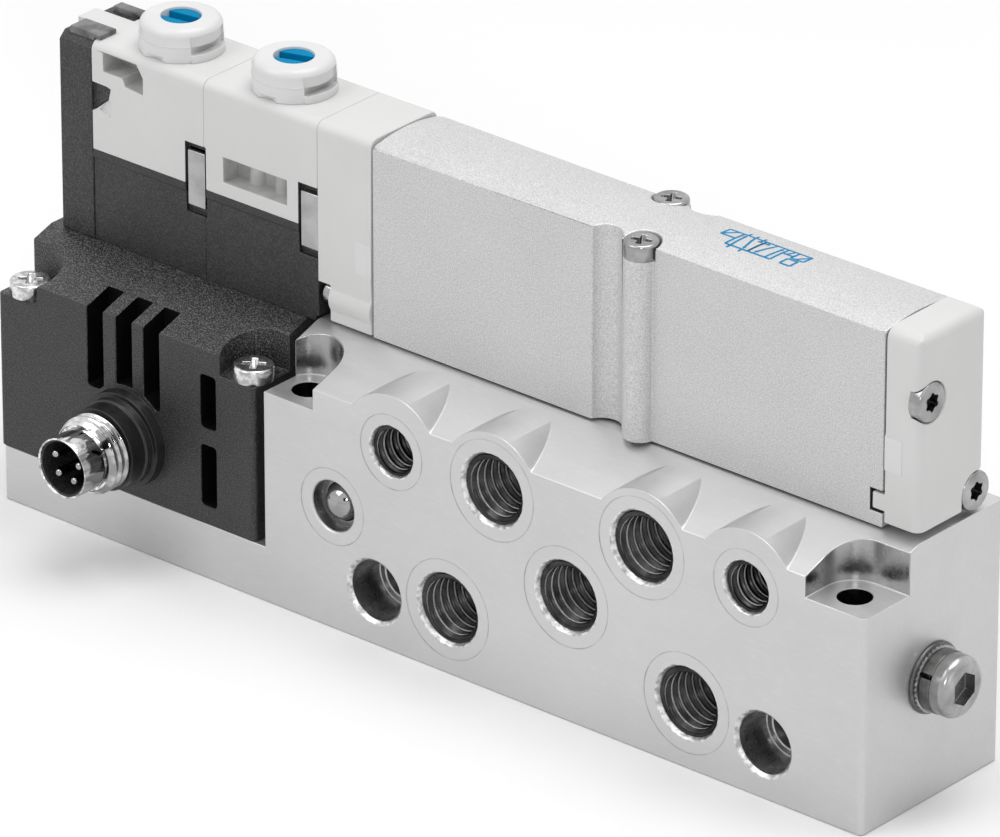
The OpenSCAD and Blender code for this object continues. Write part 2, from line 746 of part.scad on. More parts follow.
module adapter_screws() color("silver") for (c = adapter_screws_at)
    translate([adapter_x0 + adapter_notch[0], valve_y + c[0], body_z + c[1]]) rotate([0, -90, 0])
        pan_screw(adapter_head_r, adapter_head_h, cap_screw_r - 0.04, adapter_l + cap_screw_l - 2, 0.85, 0.7);

// Spool with its lands and seals, and the two pistons that push it
module spool() color("gainsboro") translate([0, valve_y, spool_z]) difference() {
    union() {
        rod_x(spool_x0, spool_x1 - spool_x0, neck_r);
        for (x = lands_x) rod_x(ports_x + x - land_w / 2, land_w, land_r);
    }
    for (x = lands_x) difference() {
        rod_x(ports_x + x - groove_w / 2, groove_w, land_r + eps);
        rod_x(ports_x + x - groove_w, 2 * groove_w, groove_r);
    }
}

module seal_ring(x, w, r_in, r_out) translate([x, 0, 0]) rotate([0, 90, 0]) difference() {
    cylinder(h = w, r = r_out);
    translate([0, 0, -eps]) cylinder(h = w + 2 * eps, r = r_in);
}

module spool_seals() color("dimgray") translate([0, valve_y, spool_z])
    for (x = lands_x) seal_ring(ports_x + x - groove_w / 2 + 0.05, groove_w - 0.1, groove_r, bore_r - 0.03);

module piston(x, l, r) translate([0, valve_y, spool_z]) difference() {
    rod_x(x, l, r);
    difference() {
        rod_x(x + l / 2 - 0.6, 1.2, r + eps);
        rod_x(x + l / 2 - 1, 2, r - 0.9);
    }
}

module piston_left() color("white") piston(piston_left_x, piston_l, piston_r);

module piston_right() color("white") piston(piston_right_x, 3.2, small_piston_r);

module piston_seals() color("dimgray") translate([0, valve_y, spool_z]) {
    seal_ring(piston_left_x + piston_l / 2 - 0.55, 1.1, piston_r - 0.9, piston_bore_r - 0.03);
    seal_ring(piston_right_x + 1.6 - 0.55, 1.1, small_piston_r - 0.9, small_bore_r - 0.03);
}

// Pilots. Each takes the X of its left end.
module clip_recess(x1) {
    for (s = [0, 1])
        box(x1 - clip_w - clip_side, x1 + clip_side, s == 0 ? valve_front - eps : valve_back - clip_sink - clip_t,
            s == 0 ? valve_front + clip_sink + clip_t : valve_back + eps, clip_z0 - clip_margin, clip_z1 + clip_margin);
    for (s = [0, 1], z = [clip_z0, clip_z1 - clip_t])
        box(x1 - clip_w, x1, s == 0 ? valve_front : valve_back - clip_sink - clip_t - clip_leg,
            s == 0 ? valve_front + clip_sink + clip_t + clip_leg : valve_back, z - 0.05, z + clip_t + 0.05);
}

module retaining_clips() color("darkgray") for (x1 = [outer_x0 + pilot_l, inner_x0 + pilot_l], s = [0, 1]) {
    y0 = s == 0 ? valve_front + clip_sink : valve_back - clip_sink - clip_t;
    leg_y = s == 0 ? y0 : y0 - clip_leg;
    box(x1 - clip_w, x1, y0, y0 + clip_t, clip_z0, clip_z1);
    for (z = [clip_z0, clip_z1 - clip_t]) box(x1 - clip_w, x1, leg_y, leg_y + clip_t + clip_leg, z, z + clip_t);
}

// Solid of a pilot cover before the cuts that differ between the two
module pilot_cover(x0) difference() {
    intersection() {
        box(x0, x0 + pilot_l, valve_front, valve_back, seam_z, top_z);
        soft_top(x0, x0 + pilot_l, 1);
    }
    translate([x0 + pilot_dx_axis, pilot_y, 0]) {
        translate([0, 0, collar_pocket_z]) cylinder(h = top_z, r = collar_pocket_r);
        translate([0, 0, spring_pocket_z]) cylinder(h = top_z, r = spring_pocket_r);
        translate([0, 0, armature_top_z]) cylinder(h = top_z, r = plunger_r + run_gap);
        translate([0, 0, seam_z - eps]) cylinder(h = armature_top_z + stop_gap - seam_z + eps, r = armature_r + run_gap);
    }
    clip_recess(x0 + pilot_l);
}

module pilot_cover_outer() color("white") {
    difference() {
        pilot_cover(outer_x0);
        // Stepped recess near the upper corner
        stepped_recess(outer_x0 + 1.5);
        // Hollows that the end plate's snaps reach into
        for (s = [0, 1]) snap_shape(s, snap_depth + snap_gap, snap_gap);
        side_prism(outer_x0, top_z, snap_shade, shade_depth);
    }
    // Tongue between the end plate's two hooks
    box(outer_x0 - end_plate_t - tongue_out, outer_x0 + eps, valve_y - tongue_half, valve_y + tongue_half,
        top_z - tongue_t, top_z);
}

// A polygon in the side view, with its place from a corner, cut or raised into the front face
module side_prism(x, z, points, depth) {
    translate([x, valve_front + depth, z]) rotate([90, 0, 0]) linear_extrude(depth + eps) polygon(points);
}

module stepped_recess(x) {
    side_prism(x, top_z, recess_points, recess_depth);
}

// Snap at the front (0) or the back (1) of the end plate, grown by a gap
module snap_shape(side, depth, grow) {
    y = side == 0 ? valve_front + depth : valve_back + eps;
    shape = [for (k = [0 : len(snap_points) - 1]) snap_points[k] + [grow, k < 3 ? grow : -grow]];
    translate([outer_x0, y, top_z]) rotate([90, 0, 0]) linear_extrude(depth + eps)
        polygon(concat([[-eps, shape[0][1]]], shape, [[-eps, shape[len(shape) - 1][1]]]));
}

module pilot_cover_inner() color("white") difference() {
    pilot_cover(inner_x0);
    // Window recess with two ribs inside
    difference() {
        box(inner_x0 + window[0], inner_x0 + window[1], valve_front - eps, valve_front + window_depth,
            seam_z + window[2], seam_z + window[3]);
        for (x = window_ribs)
            translate([inner_x0 + window[0] + x, valve_front + window_depth, seam_z]) cylinder(h = window[3], r = window_rib_r);
    }
    // Relief beside the clip
    box(inner_x0 - eps, inner_x0 + clip_side, valve_front - eps, valve_front + clip_sink + clip_t,
        clip_z1 - relief_down, clip_z1 - clip_side);
    clip_recess(outer_x0 + pilot_l);
}

module coil_housing(x0) difference() {
    lip = 0.12;
    union() {
        box(x0, x0 + pilot_l, valve_front + lip, valve_back - lip, coil_z, seam_z);
        box(x0, x0 + pilot_l, valve_front, valve_back, seam_z - 0.85, seam_z);
    }
    translate([x0 + pilot_dx_axis, pilot_y, 0]) {
        translate([0, 0, coil_z + coil_floor]) cylinder(h = seam_z, r = bobbin_r + 0.05);
        for (s = [-1, 1])
            translate([s * coil_pin_dx, 0, coil_z - eps])
                cylinder(h = coil_floor + 2 * eps, r = coil_pin_r + coil_pin_gap, $fn = 24);
    }
    clip_recess(x0 + pilot_l);
}

module coil_housing_outer() color("#2b2b2b") coil_housing(outer_x0);

module coil_housing_inner() color("#2b2b2b") difference() {
    coil_housing(inner_x0);
    clip_recess(outer_x0 + pilot_l);
    // Clear of the sub-base's step
    box(step_x - 0.25, adapter_x0 + eps, valve_front - eps, valve_back + eps, coil_z - eps, base_h + body_lift);
}

module pilot_at(x0) {
    translate([x0 + pilot_dx_axis, pilot_y, 0]) children();
}

module bobbin(x0) pilot_at(x0) difference() {
    union() {
        translate([0, 0, coil_z + coil_floor]) cylinder(h = bobbin_flange, r = bobbin_r);
        translate([0, 0, seam_z - bobbin_flange]) cylinder(h = bobbin_flange, r = bobbin_r);
        translate([0, 0, coil_z + coil_floor]) cylinder(h = seam_z - coil_z - coil_floor, r = bobbin_tube_r);
    }
    cylinder(h = top_z, r = armature_r + run_gap);
    for (s = [-1, 1])
        translate([s * coil_pin_dx, 0, coil_z]) cylinder(h = coil_floor + bobbin_flange, r = coil_pin_r, $fn = 24);
}

module winding(x0) pilot_at(x0) translate([0, 0, coil_z + coil_floor + bobbin_flange]) difference() {
    cylinder(h = seam_z - coil_z - coil_floor - 2 * bobbin_flange, r = winding_r);
    translate([0, 0, -eps]) cylinder(h = seam_z, r = bobbin_tube_r);
}

module pole_core(x0) pilot_at(x0) difference() {
    translate([0, 0, coil_z + coil_floor]) cylinder(h = core_top_z - coil_z - coil_floor, r = armature_r);
    translate([0, 0, core_top_z - spring_hole_depth]) cylinder(h = top_z, r = spring_hole_r);
}

module armature(x0) pilot_at(x0) translate([0, 0, armature_z]) difference() {
    cylinder(h = armature_h, r = armature_r);
    for (a = [0, 180]) rotate([0, 0, a]) box(armature_r - 0.35, armature_r + eps, -0.4, 0.4, -eps, armature_h + eps);
}

module armature_spring(x0) pilot_at(x0)
    spring(armature_spring_r, wire_r, core_top_z - spring_hole_depth, armature_z, 4);

module override_cap(x0) pilot_at(x0) translate([0, 0, top_z]) difference() {
    union() {
        // Foot that stands out on the side of the window
        intersection() {
            cylinder(h = cap_foot_h, r = override_cap_r + cap_foot_out);
            box(0, override_cap_r + 1, -cap_window_half, cap_window_half, 0, cap_foot_h);
        }
        cylinder(h = cap_band_h, r = override_cap_r + cap_band_out);
        cylinder(h = override_cap_h - cap_dome, r = override_cap_r);
        rotate_extrude() {
            translate([0, override_cap_h - cap_dome - eps]) square([override_cap_r - cap_dome, cap_dome + eps]);
            translate([override_cap_r - cap_dome, override_cap_h - cap_dome]) circle(r = cap_dome, $fn = 48);
        }
    }
    translate([0, 0, -eps]) cylinder(h = button_z - top_z + eps, r = cap_hollow_r);
    translate([0, 0, -eps]) cylinder(h = override_cap_h + 2 * eps, r = cap_bore_r);
    // The side towards the valve is set back and has a narrow window above the foot
    difference() {
        box(0, override_cap_r + 1, -cap_window_half, cap_window_half, cap_foot_h, override_cap_h - cap_shoulder);
        translate([0, 0, -eps]) cylinder(h = override_cap_h + 2 * eps, r = override_cap_r - cap_recess);
    }
    box(override_cap_r - slit_in, override_cap_r + 1, -cap_window_half, cap_window_half, cap_foot_h, cap_window_z);
    // Thumb relief at the foot
    for (side = [-1, 1]) translate([relief_dx, side * (override_cap_r + relief_r - 0.45), -eps])
        cylinder(h = relief_h + eps, r = relief_r);
}

module override_plunger(x0) pilot_at(x0) difference() {
    tip_z = armature_top_z + override_travel + stop_gap;
    union() {
        translate([0, 0, collar_z]) cylinder(h = collar_h, r = collar_r);
        translate([0, 0, tip_z]) cylinder(h = collar_z - tip_z + 0.1, r = plunger_r);
    }
    translate([0, 0, collar_z + collar_h - button_stem_l - 0.1]) cylinder(h = 2, r = button_stem_r + run_gap);
}

module override_button(x0, turn) pilot_at(x0) difference() {
    union() {
        translate([0, 0, button_z]) cylinder(h = button_top - button_z, r = button_r);
        translate([0, 0, button_z - button_stem_l]) cylinder(h = button_stem_l + 0.1, r = button_stem_r);
    }
    rotate([0, 0, turn])
        box(-button_r - eps, button_r + eps, -slot_w / 2, slot_w / 2, button_top - slot_depth, button_top + eps);
}

module override_spring(x0) pilot_at(x0)
    spring(override_spring_r, wire_r, spring_pocket_z, collar_z, 4);

module bobbin_outer() color("ivory") bobbin(outer_x0);
module bobbin_inner() color("ivory") bobbin(inner_x0);
module winding_outer() color("sienna") winding(outer_x0);
module winding_inner() color("sienna") winding(inner_x0);
module pole_core_outer() color("gray") pole_core(outer_x0);
module pole_core_inner() color("gray") pole_core(inner_x0);
module armature_outer() color("slategray") armature(outer_x0);
module armature_inner() color("slategray") armature(inner_x0);
module armature_spring_outer() color("silver") armature_spring(outer_x0);
module armature_spring_inner() color("silver") armature_spring(inner_x0);
module override_cap_outer() color("white") override_cap(outer_x0);
module override_cap_inner() color("white") override_cap(inner_x0);
module override_plunger_outer() color("tan") override_plunger(outer_x0);
module override_plunger_inner() color("tan") override_plunger(inner_x0);
module override_button_outer() color("deepskyblue") override_button(outer_x0, slot_turn[0]);
module override_button_inner() color("deepskyblue") override_button(inner_x0, slot_turn[1]);
module override_spring_outer() color("silver") override_spring(outer_x0);
module override_spring_inner() color("silver") override_spring(inner_x0);

// Contact pins that join each coil to the terminal block below
module coil_pins(x0) {
    z0 = terminal_z1 - coil_pin_in;
    pilot_at(x0) for (s = [-1, 1])
        translate([s * coil_pin_dx, 0, z0])
            cylinder(h = coil_z + coil_floor + bobbin_flange - z0, r = coil_pin_r, $fn = 24);
}

module coil_pins_outer() color("gold") coil_pins(outer_x0);
module coil_pins_inner() color("gold") coil_pins(inner_x0);

// Plate at the pilots' outer end, with a snap hook at each upper edge
module end_plate() color("#262626") {
    x0 = outer_x0 - end_plate_t;
    bevel = 0.8;
    difference() {
        rotate([90, 0, 90]) translate([0, 0, x0]) linear_extrude(end_plate_t)
            polygon([[valve_front, coil_z], [valve_back, coil_z], [valve_back, top_z - plate_drop - bevel],
                     [valve_back - bevel, top_z - plate_drop], [valve_front + bevel, top_z - plate_drop],
                     [valve_front, top_z - plate_drop - bevel]]);
        box(x0 - eps, x0 + end_plate_t + eps, valve_y - tongue_half - tongue_gap, valve_y + tongue_half + tongue_gap,
            top_z - tongue_t - tongue_gap, top_z + eps);
    }
    for (h = hooks) {
        box(x0 + hook_in, x0 + end_plate_t, valve_y + h[0], valve_y + h[1], top_z - plate_drop - eps, top_z + hook_h);
        box(x0 + hook_in, x0 + end_plate_t + hook_reach, valve_y + h[0], valve_y + h[1], top_z, top_z + hook_h);
    }
    // Snaps at the sides, reaching into the pilot cover's hollows
    for (side = [0, 1]) intersection() {
        snap_shape(side, snap_depth, 0);
        box(x0, outer_x0 + 3, valve_front + snap_in, valve_back - snap_in, coil_z, top_z);
    }
}

// Plug housing
module plug_shape() {
    rotate([90, 0, 90]) translate([0, 0, plug_x0]) linear_extrude(plug_x1 - plug_x0)
        polygon([[front_y, shelf_h], [-front_y, shelf_h], [-front_y, plug_top_z], [valve_front, plug_top_z],
                 [front_y, plug_front_z]]);
}

// Slot in the front with round corners
slot_corner_r = 0.4;

module soft_slot(x0, x1, y1, z0, z1) {
    r = slot_corner_r;
    box(x0 + r, x1 - r, front_y - eps, y1, z0, z1);
    box(x0, x1, front_y - eps, y1, z0 + r, z1 - r);
    for (x = [x0 + r, x1 - r])
        for (z = [z0 + r, z1 - r])
            translate([x, 0, z]) rod_y(front_y - eps, y1 - front_y + eps, r);
}

module plug_housing() color("#303030") difference() {
    union() {
        difference() {
            intersection() {
                plug_shape();
                rounded_block(plug_x0, plug_x1, front_y, -front_y, shelf_h, plug_top_z, corner_r);
            }
            for (x = groove_x)
                soft_slot(plug_x0 + x, plug_x0 + x + groove_width, front_y + groove_depth, groove_floor, base_h);
        }
        translate([connector_x, 0, connector_z]) {
            rod_y(front_y, groove_depth + 0.5, boss_pad_r);
            for (b = boss_step) rod_y(front_y - b[1], b[1] + 1, b[0]);
        }
    }
    for (z = slots_z)
        soft_slot(plug_x1 - slot_in - slot_width, plug_x1 - slot_in, front_y + slot_recess, z[0], z[1]);
    // Pockets of the two fixing screws
    for (i = [0, 1]) {
        x = plug_screws_x[i];
        translate([x, plug_screw_y, plug_pocket_z]) cylinder(h = base_h, r = pocket_r);
        translate([x, plug_screw_y, 0]) cylinder(h = base_h, r = housing_screw_r + 0.1);
        box(i == 0 ? plug_x0 - eps : x, i == 0 ? x : plug_x1 + eps, front_y - eps, plug_screw_y + pocket_r,
            plug_pocket_z, base_h);
        box(i == 0 ? plug_x0 - eps : x - pocket_reach, i == 0 ? x + pocket_reach : plug_x1 + eps,
            front_y - eps, plug_screw_y, plug_pocket_z, base_h);
    }
    box(cavity_x0, cavity_x1, cavity_y0, cavity_y1, shelf_h - eps, cavity_z1);
    translate([connector_x, 0, connector_z]) {
        rod_y(front_y - connector_out, connector_out + 6 + eps, sleeve_r);
    }
    for (x0 = [outer_x0, inner_x0], s = [-1, 1])
        translate([x0 + pilot_dx_axis + s * coil_pin_dx, pilot_y, terminal_z1 - coil_pin_in - coil_pin_gap])
            cylinder(h = plug_top_z - terminal_z1 + coil_pin_in + 1, r = coil_pin_r + coil_pin_gap, $fn = 24);
}

module housing_screws() color("silver") for (x = plug_screws_x)
    translate([x, plug_screw_y, plug_pocket_z]) rotate([0, 0, 35])
        pan_screw(housing_head_r, housing_head_h, housing_screw_r - 0.04, plug_pocket_z - plug_screw_end_z, 1.45, 1);

// Circuit board, upright behind the connector
module circuit_board() color("darkgreen") difference() {
    box(cavity_x0 + board_margin, cavity_x1 - board_margin, board_y, board_y + board_t,
        shelf_h + 0.3, terminal_z1 - terminal_h);
    for (p = pins_at) translate([connector_x + p[0], 0, connector_z + p[1]]) rod_y(board_y - eps, board_t + 2 * eps, pin_r);
}

// Block on the board's upper edge that the coil pins plug into
module terminal_block() color("#404040") difference() {
    box(cavity_x0 + board_margin, cavity_x1 - board_margin, board_y, terminal_back, terminal_z1 - terminal_h, terminal_z1);
    for (x0 = [outer_x0, inner_x0], s = [-1, 1])
        translate([x0 + pilot_dx_axis + s * coil_pin_dx, pilot_y, terminal_z1 - coil_pin_in])
            cylinder(h = coil_pin_in + eps, r = coil_pin_r, $fn = 24);
}

// Connector
module connector_sleeve() color("silver") translate([connector_x, 0, connector_z]) difference() {
    front = front_y - connector_out;
    union() {
        rod_y(front, connector_out + sleeve_end - 1, sleeve_front_r);
        rod_y(front + sleeve_front_l, connector_out - sleeve_front_l - thread_back, connector_r);
        rod_y(front_y - thread_back, thread_back + sleeve_end, sleeve_r);
    }
    rod_y(front - eps, connector_out + sleeve_end + 1, sleeve_bore_r);
}

module connector_insert() color("#1c1c1c") translate([connector_x, 0, connector_z]) difference() {
    front = front_y - connector_out + insert_lip;
    union() {
        rod_y(front, sleeve_end - front + front_y, sleeve_bore_r);
        rod_y(front_y + sleeve_end, cavity_y0 - front_y - sleeve_end, sleeve_r);
    }
    // Cup that lines the sleeve
    rod_y(front - eps, insert_face - insert_lip + eps, sleeve_bore_r - insert_wall);
    for (p = pins_at) translate([p[0], 0, p[1]]) rod_y(front - eps, connector_out + 8, pin_r);
}

module connector_pins() color("gold") for (p = pins_at)
    translate([connector_x + p[0], 0, connector_z + p[1]])
        rod_y(front_y - connector_out + pin_tip, connector_out - pin_tip + cavity_y0 - front_y + board_t + 0.6, pin_r);

// Earth screw with its washers
contact_t = 0.8;
contact_r = 3.6;
lock_t = 1.2;
lock_r = 3.15;
earth_head_r = 3.1;
earth_head_h = 1.9;
earth_edge = 1.1;
earth_hex_r = 1.75;
earth_hex_depth = 1.2;

module contact_washer() color("gray") translate([right_x, 0, earth_z]) seal_ring(0, contact_t, earth_r + 0.15, contact_r);

module lock_washer() color("silver") translate([right_x + contact_t, 0, earth_z]) difference() {
    seal_ring(0, lock_t, earth_r + 0.15, lock_r);
    rotate([60, 0, 0]) box(-eps, lock_t + eps, -0.2, 0.2, 0, lock_r + eps);
}

module earth_screw() color("silver") translate([right_x + contact_t + lock_t, 0, earth_z]) difference() {
    shank_l = contact_t + lock_t + earth_depth - 1;
    union() {
        rod_x(-shank_l, shank_l + 0.1, earth_r - 0.04);
        rotate([0, 90, 0]) round_head(earth_head_r, earth_head_h, earth_edge);
    }
    translate([earth_head_h - earth_hex_depth, 0, 0]) rotate([0, 90, 0])
        cylinder(h = earth_hex_depth + eps, r = earth_hex_r, $fn = 6);
}

sub_base();
sealing_ball();
valve_body();
base_gasket();
captive_screws();
end_cap();
end_cap_gasket();
end_cap_screws();
adapter();
adapter_gasket();
adapter_screws();
spool();
spool_seals();
piston_left();
piston_right();
piston_seals();
pilot_cover_outer();
pilot_cover_inner();
coil_housing_outer();
coil_housing_inner();
bobbin_outer();
bobbin_inner();
winding_outer();
winding_inner();
pole_core_outer();
pole_core_inner();
armature_outer();
armature_inner();
armature_spring_outer();
armature_spring_inner();
override_cap_outer();
override_cap_inner();
override_plunger_outer();
override_plunger_inner();
override_button_outer();
override_button_inner();
override_spring_outer();
override_spring_inner();
coil_pins_outer();
coil_pins_inner();
retaining_clips();
end_plate();
plug_housing();
housing_screws();
circuit_board();
terminal_block();
connector_sleeve();
connector_insert();
connector_pins();
earth_screw();
lock_washer();
contact_washer();
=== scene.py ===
import json
import math

import bmesh
import bpy
from mathutils import Matrix, Vector


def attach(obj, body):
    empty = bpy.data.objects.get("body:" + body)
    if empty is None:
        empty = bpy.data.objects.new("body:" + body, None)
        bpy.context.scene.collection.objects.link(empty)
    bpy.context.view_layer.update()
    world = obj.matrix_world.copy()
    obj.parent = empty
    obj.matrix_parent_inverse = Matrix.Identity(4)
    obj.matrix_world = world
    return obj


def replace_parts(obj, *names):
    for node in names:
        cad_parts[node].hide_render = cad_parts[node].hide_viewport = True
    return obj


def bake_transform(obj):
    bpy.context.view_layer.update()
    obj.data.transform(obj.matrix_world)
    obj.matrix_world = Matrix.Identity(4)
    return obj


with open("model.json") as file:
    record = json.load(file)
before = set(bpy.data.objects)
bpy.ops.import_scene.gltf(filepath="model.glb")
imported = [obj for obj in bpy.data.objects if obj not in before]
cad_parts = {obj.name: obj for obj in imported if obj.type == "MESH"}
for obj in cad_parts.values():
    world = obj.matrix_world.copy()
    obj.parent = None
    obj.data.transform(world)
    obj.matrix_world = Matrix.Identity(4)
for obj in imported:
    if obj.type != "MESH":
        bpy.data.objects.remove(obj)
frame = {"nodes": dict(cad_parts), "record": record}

scene = bpy.context.scene
mm = 0.001
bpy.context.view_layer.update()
print("frame loaded")


# Shared by the stage, the materials and the pieces

def grey(level):
    return (level, level, level)


def startNodes(owner):
    owner.use_nodes = True
    owner.node_tree.nodes.clear()
    return owner.node_tree


def addNode(tree, kind, **settings):
    node = tree.nodes.new(kind)
    for key, value in settings.items():
        setattr(node, key, value)
    return node


def meshFrom(work, name):
    mesh = bpy.data.meshes.new(name)
    work.to_mesh(mesh)
    work.free()
    return mesh


def turnTowards(place, aim):
    return (Vector(aim) * mm - place).to_track_quat("-Z", "Y")


# Camera at the photograph's angle, distances in millimetres

cameraValues = {
    "target": (-12.79, 16.55, 12.0),
    "azimuth": 40.63,
    "elevation": 26.04,
    "distance": 1044.4,
    "lens": 383.7,
    "sensor": 36.0,
    "nearest": 50,
    "farthest": 20000,
}


def makeCamera(values):
    azimuth = math.radians(values["azimuth"])
    elevation = math.radians(values["elevation"])
    level = math.cos(elevation)
    back = Vector((math.sin(azimuth) * level, -math.cos(azimuth) * level, math.sin(elevation)))
    data = bpy.data.cameras.new("photoCamera")
    data.lens = values["lens"]
    data.sensor_width = values["sensor"]
    data.sensor_fit = "HORIZONTAL"
    data.clip_start = values["nearest"] * mm
    data.clip_end = values["farthest"] * mm
    camera = bpy.data.objects.new("photoCamera", data)
    scene.collection.objects.link(camera)
    camera.location = Vector(values["target"]) * mm + back * values["distance"] * mm
    camera.rotation_euler = (-back).to_track_quat("-Z", "Y").to_euler()
    scene.camera = camera


makeCamera(cameraValues)


# Light: white surroundings, two large soft lamps, a weak one from the right and a small one for the ports

worldValues = {"seen": grey(1.0), "seenStrength": 1.0, "light": grey(1.0), "lightStrength": 0.43}

lampValues = [
    {"name": "keyLamp", "place": (-260, -420, 620), "aim": (0, 0, 25), "size": 420, "power": 1.56},
    {"name": "topLamp", "place": (60, 120, 700), "aim": (0, 0, 30), "size": 500, "power": 2.75},
    {"name": "rightLamp", "place": (620, -60, 260), "aim": (20, 0, 25), "size": 300, "power": 0.12},
    {"name": "boreLamp", "place": (560, -655, 420), "aim": (10, 0, 15), "size": 100, "power": 0.95},
]


# The camera, gloss and glass see one background, and the other lights the scene
def makeWorld(values):
    world = bpy.data.worlds.new("studio")
    scene.world = world
    tree = startNodes(world)
    output = addNode(tree, "ShaderNodeOutputWorld")
    mix = addNode(tree, "ShaderNodeMixShader")
    path = addNode(tree, "ShaderNodeLightPath")
    seenBy = path.outputs["Is Camera Ray"]
    for ray in ("Is Glossy Ray", "Is Transmission Ray"):
        either = addNode(tree, "ShaderNodeMath", operation="MAXIMUM")
        tree.links.new(seenBy, either.inputs[0])
        tree.links.new(path.outputs[ray], either.inputs[1])
        seenBy = either.outputs[0]
    tree.links.new(seenBy, mix.inputs[0])
    for index, kind in ((1, "light"), (2, "seen")):  # the mixer's two shader sockets
        background = addNode(tree, "ShaderNodeBackground")
        background.inputs["Color"].default_value = (*values[kind], 1)
        background.inputs["Strength"].default_value = values[kind + "Strength"]
        tree.links.new(background.outputs[0], mix.inputs[index])
    tree.links.new(mix.outputs[0], output.inputs[0])


def makeLamp(values):
    data = bpy.data.lights.new(values["name"], "AREA")
    data.shape = "SQUARE"
    data.size = values["size"] * mm
    data.energy = values["power"]
    lamp = bpy.data.objects.new(values["name"], data)
    scene.collection.objects.link(lamp)
    place = Vector(values["place"]) * mm
    lamp.location = place
    lamp.rotation_euler = turnTowards(place, values["aim"]).to_euler()


makeWorld(worldValues)
for lampSetting in lampValues:
    makeLamp(lampSetting)
scene.view_settings.view_transform = "Standard"
print("lamps made:", len(lampValues))


# Materials. Each takes one dictionary: colours are linear, sizes of the grain in millimetres.

even = (1, 1, 1)

# What a finish, its specks and a layer of its relief have where their own dictionaries don't say otherwise
commonFinish = {
    "metallic": 0, "specular": 0.5, "ior": 1.5,
    "driftStretch": even, "driftRange": (0.3, 0.7), "driftDetail": 3,
    "patchStretch": even, "patchRange": (0.3, 0.7), "patchDetail": 4,
}
commonSpecks = {"stretch": even, "detail": 2}
commonLayer = {"stretch": even, "detail": 2}


def noiseAt(tree, coordinates, size, detail, stretch):
    mapping = addNode(tree, "ShaderNodeMapping")
    mapping.inputs["Scale"].default_value = stretch
    noise = addNode(tree, "ShaderNodeTexNoise")
    noise.inputs["Scale"].default_value = 1 / (size * mm)
    noise.inputs["Detail"].default_value = detail
    tree.links.new(coordinates, mapping.inputs["Vector"])
    tree.links.new(mapping.outputs["Vector"], noise.inputs["Vector"])
    return noise.outputs["Fac"]


def ranged(tree, value, given, wanted):
    node = addNode(tree, "ShaderNodeMapRange")
    node.inputs["From Min"].default_value, node.inputs["From Max"].default_value = given
    node.inputs["To Min"].default_value, node.inputs["To Max"].default_value = wanted
    tree.links.new(value, node.inputs["Value"])
    return node.outputs["Result"]


def mixColors(tree, factor, low, high):
    node = addNode(tree, "ShaderNodeMix", data_type="RGBA")
    for socket, value in ((6, low), (7, high)):  # the two colour sockets
        if isinstance(value, tuple):
            node.inputs[socket].default_value = (*value, 1)
        else:
            tree.links.new(value, node.inputs[socket])
    tree.links.new(factor, node.inputs[0])
    return node.outputs[2]


def surface(values):
    values = {**commonFinish, **values}
    material = bpy.data.materials.new(values["name"])
    tree = startNodes(material)
    output = addNode(tree, "ShaderNodeOutputMaterial")
    shader = addNode(tree, "ShaderNodeBsdfPrincipled")
    tree.links.new(shader.outputs[0], output.inputs["Surface"])
    coordinates = addNode(tree, "ShaderNodeTexCoord").outputs["Object"]
    shader.inputs["Metallic"].default_value = values["metallic"]
    shader.inputs["Specular IOR Level"].default_value = values["specular"]
    shader.inputs["IOR"].default_value = values["ior"]
    # Colour: a slow drift over the surface and fine specks
    drift = noiseAt(tree, coordinates, values["driftSize"], values["driftDetail"], values["driftStretch"])
    color = mixColors(tree, ranged(tree, drift, values["driftRange"], (0, 1)), values["dark"], values["light"])
    if "specks" in values:
        speck = {**commonSpecks, **values["specks"]}
        grain = noiseAt(tree, coordinates, speck["size"], speck["detail"], speck["stretch"])
        share = ranged(tree, grain, (speck["start"], speck["stop"]), (0, speck["amount"]))
        color = mixColors(tree, share, color, speck["color"])
    tree.links.new(color, shader.inputs["Base Color"])
    # Roughness in patches
    patches = noiseAt(tree, coordinates, values["patchSize"], values["patchDetail"], values["patchStretch"])
    roughness = ranged(tree, patches, values["patchRange"], values["roughness"])
    tree.links.new(roughness, shader.inputs["Roughness"])
    # Relief in layers, each on the one before
    normal = None
    for layer in values["relief"]:
        layer = {**commonLayer, **layer}
        bump = addNode(tree, "ShaderNodeBump")
        bump.inputs["Strength"].default_value = 1
        bump.inputs["Distance"].default_value = layer["height"] * mm
        height = noiseAt(tree, coordinates, layer["size"], layer["detail"], layer["stretch"])
        tree.links.new(height, bump.inputs["Height"])
        if normal is not None:
            tree.links.new(normal, bump.inputs["Normal"])
        normal = bump.outputs["Normal"]
    tree.links.new(normal, shader.inputs["Normal"])
    return material


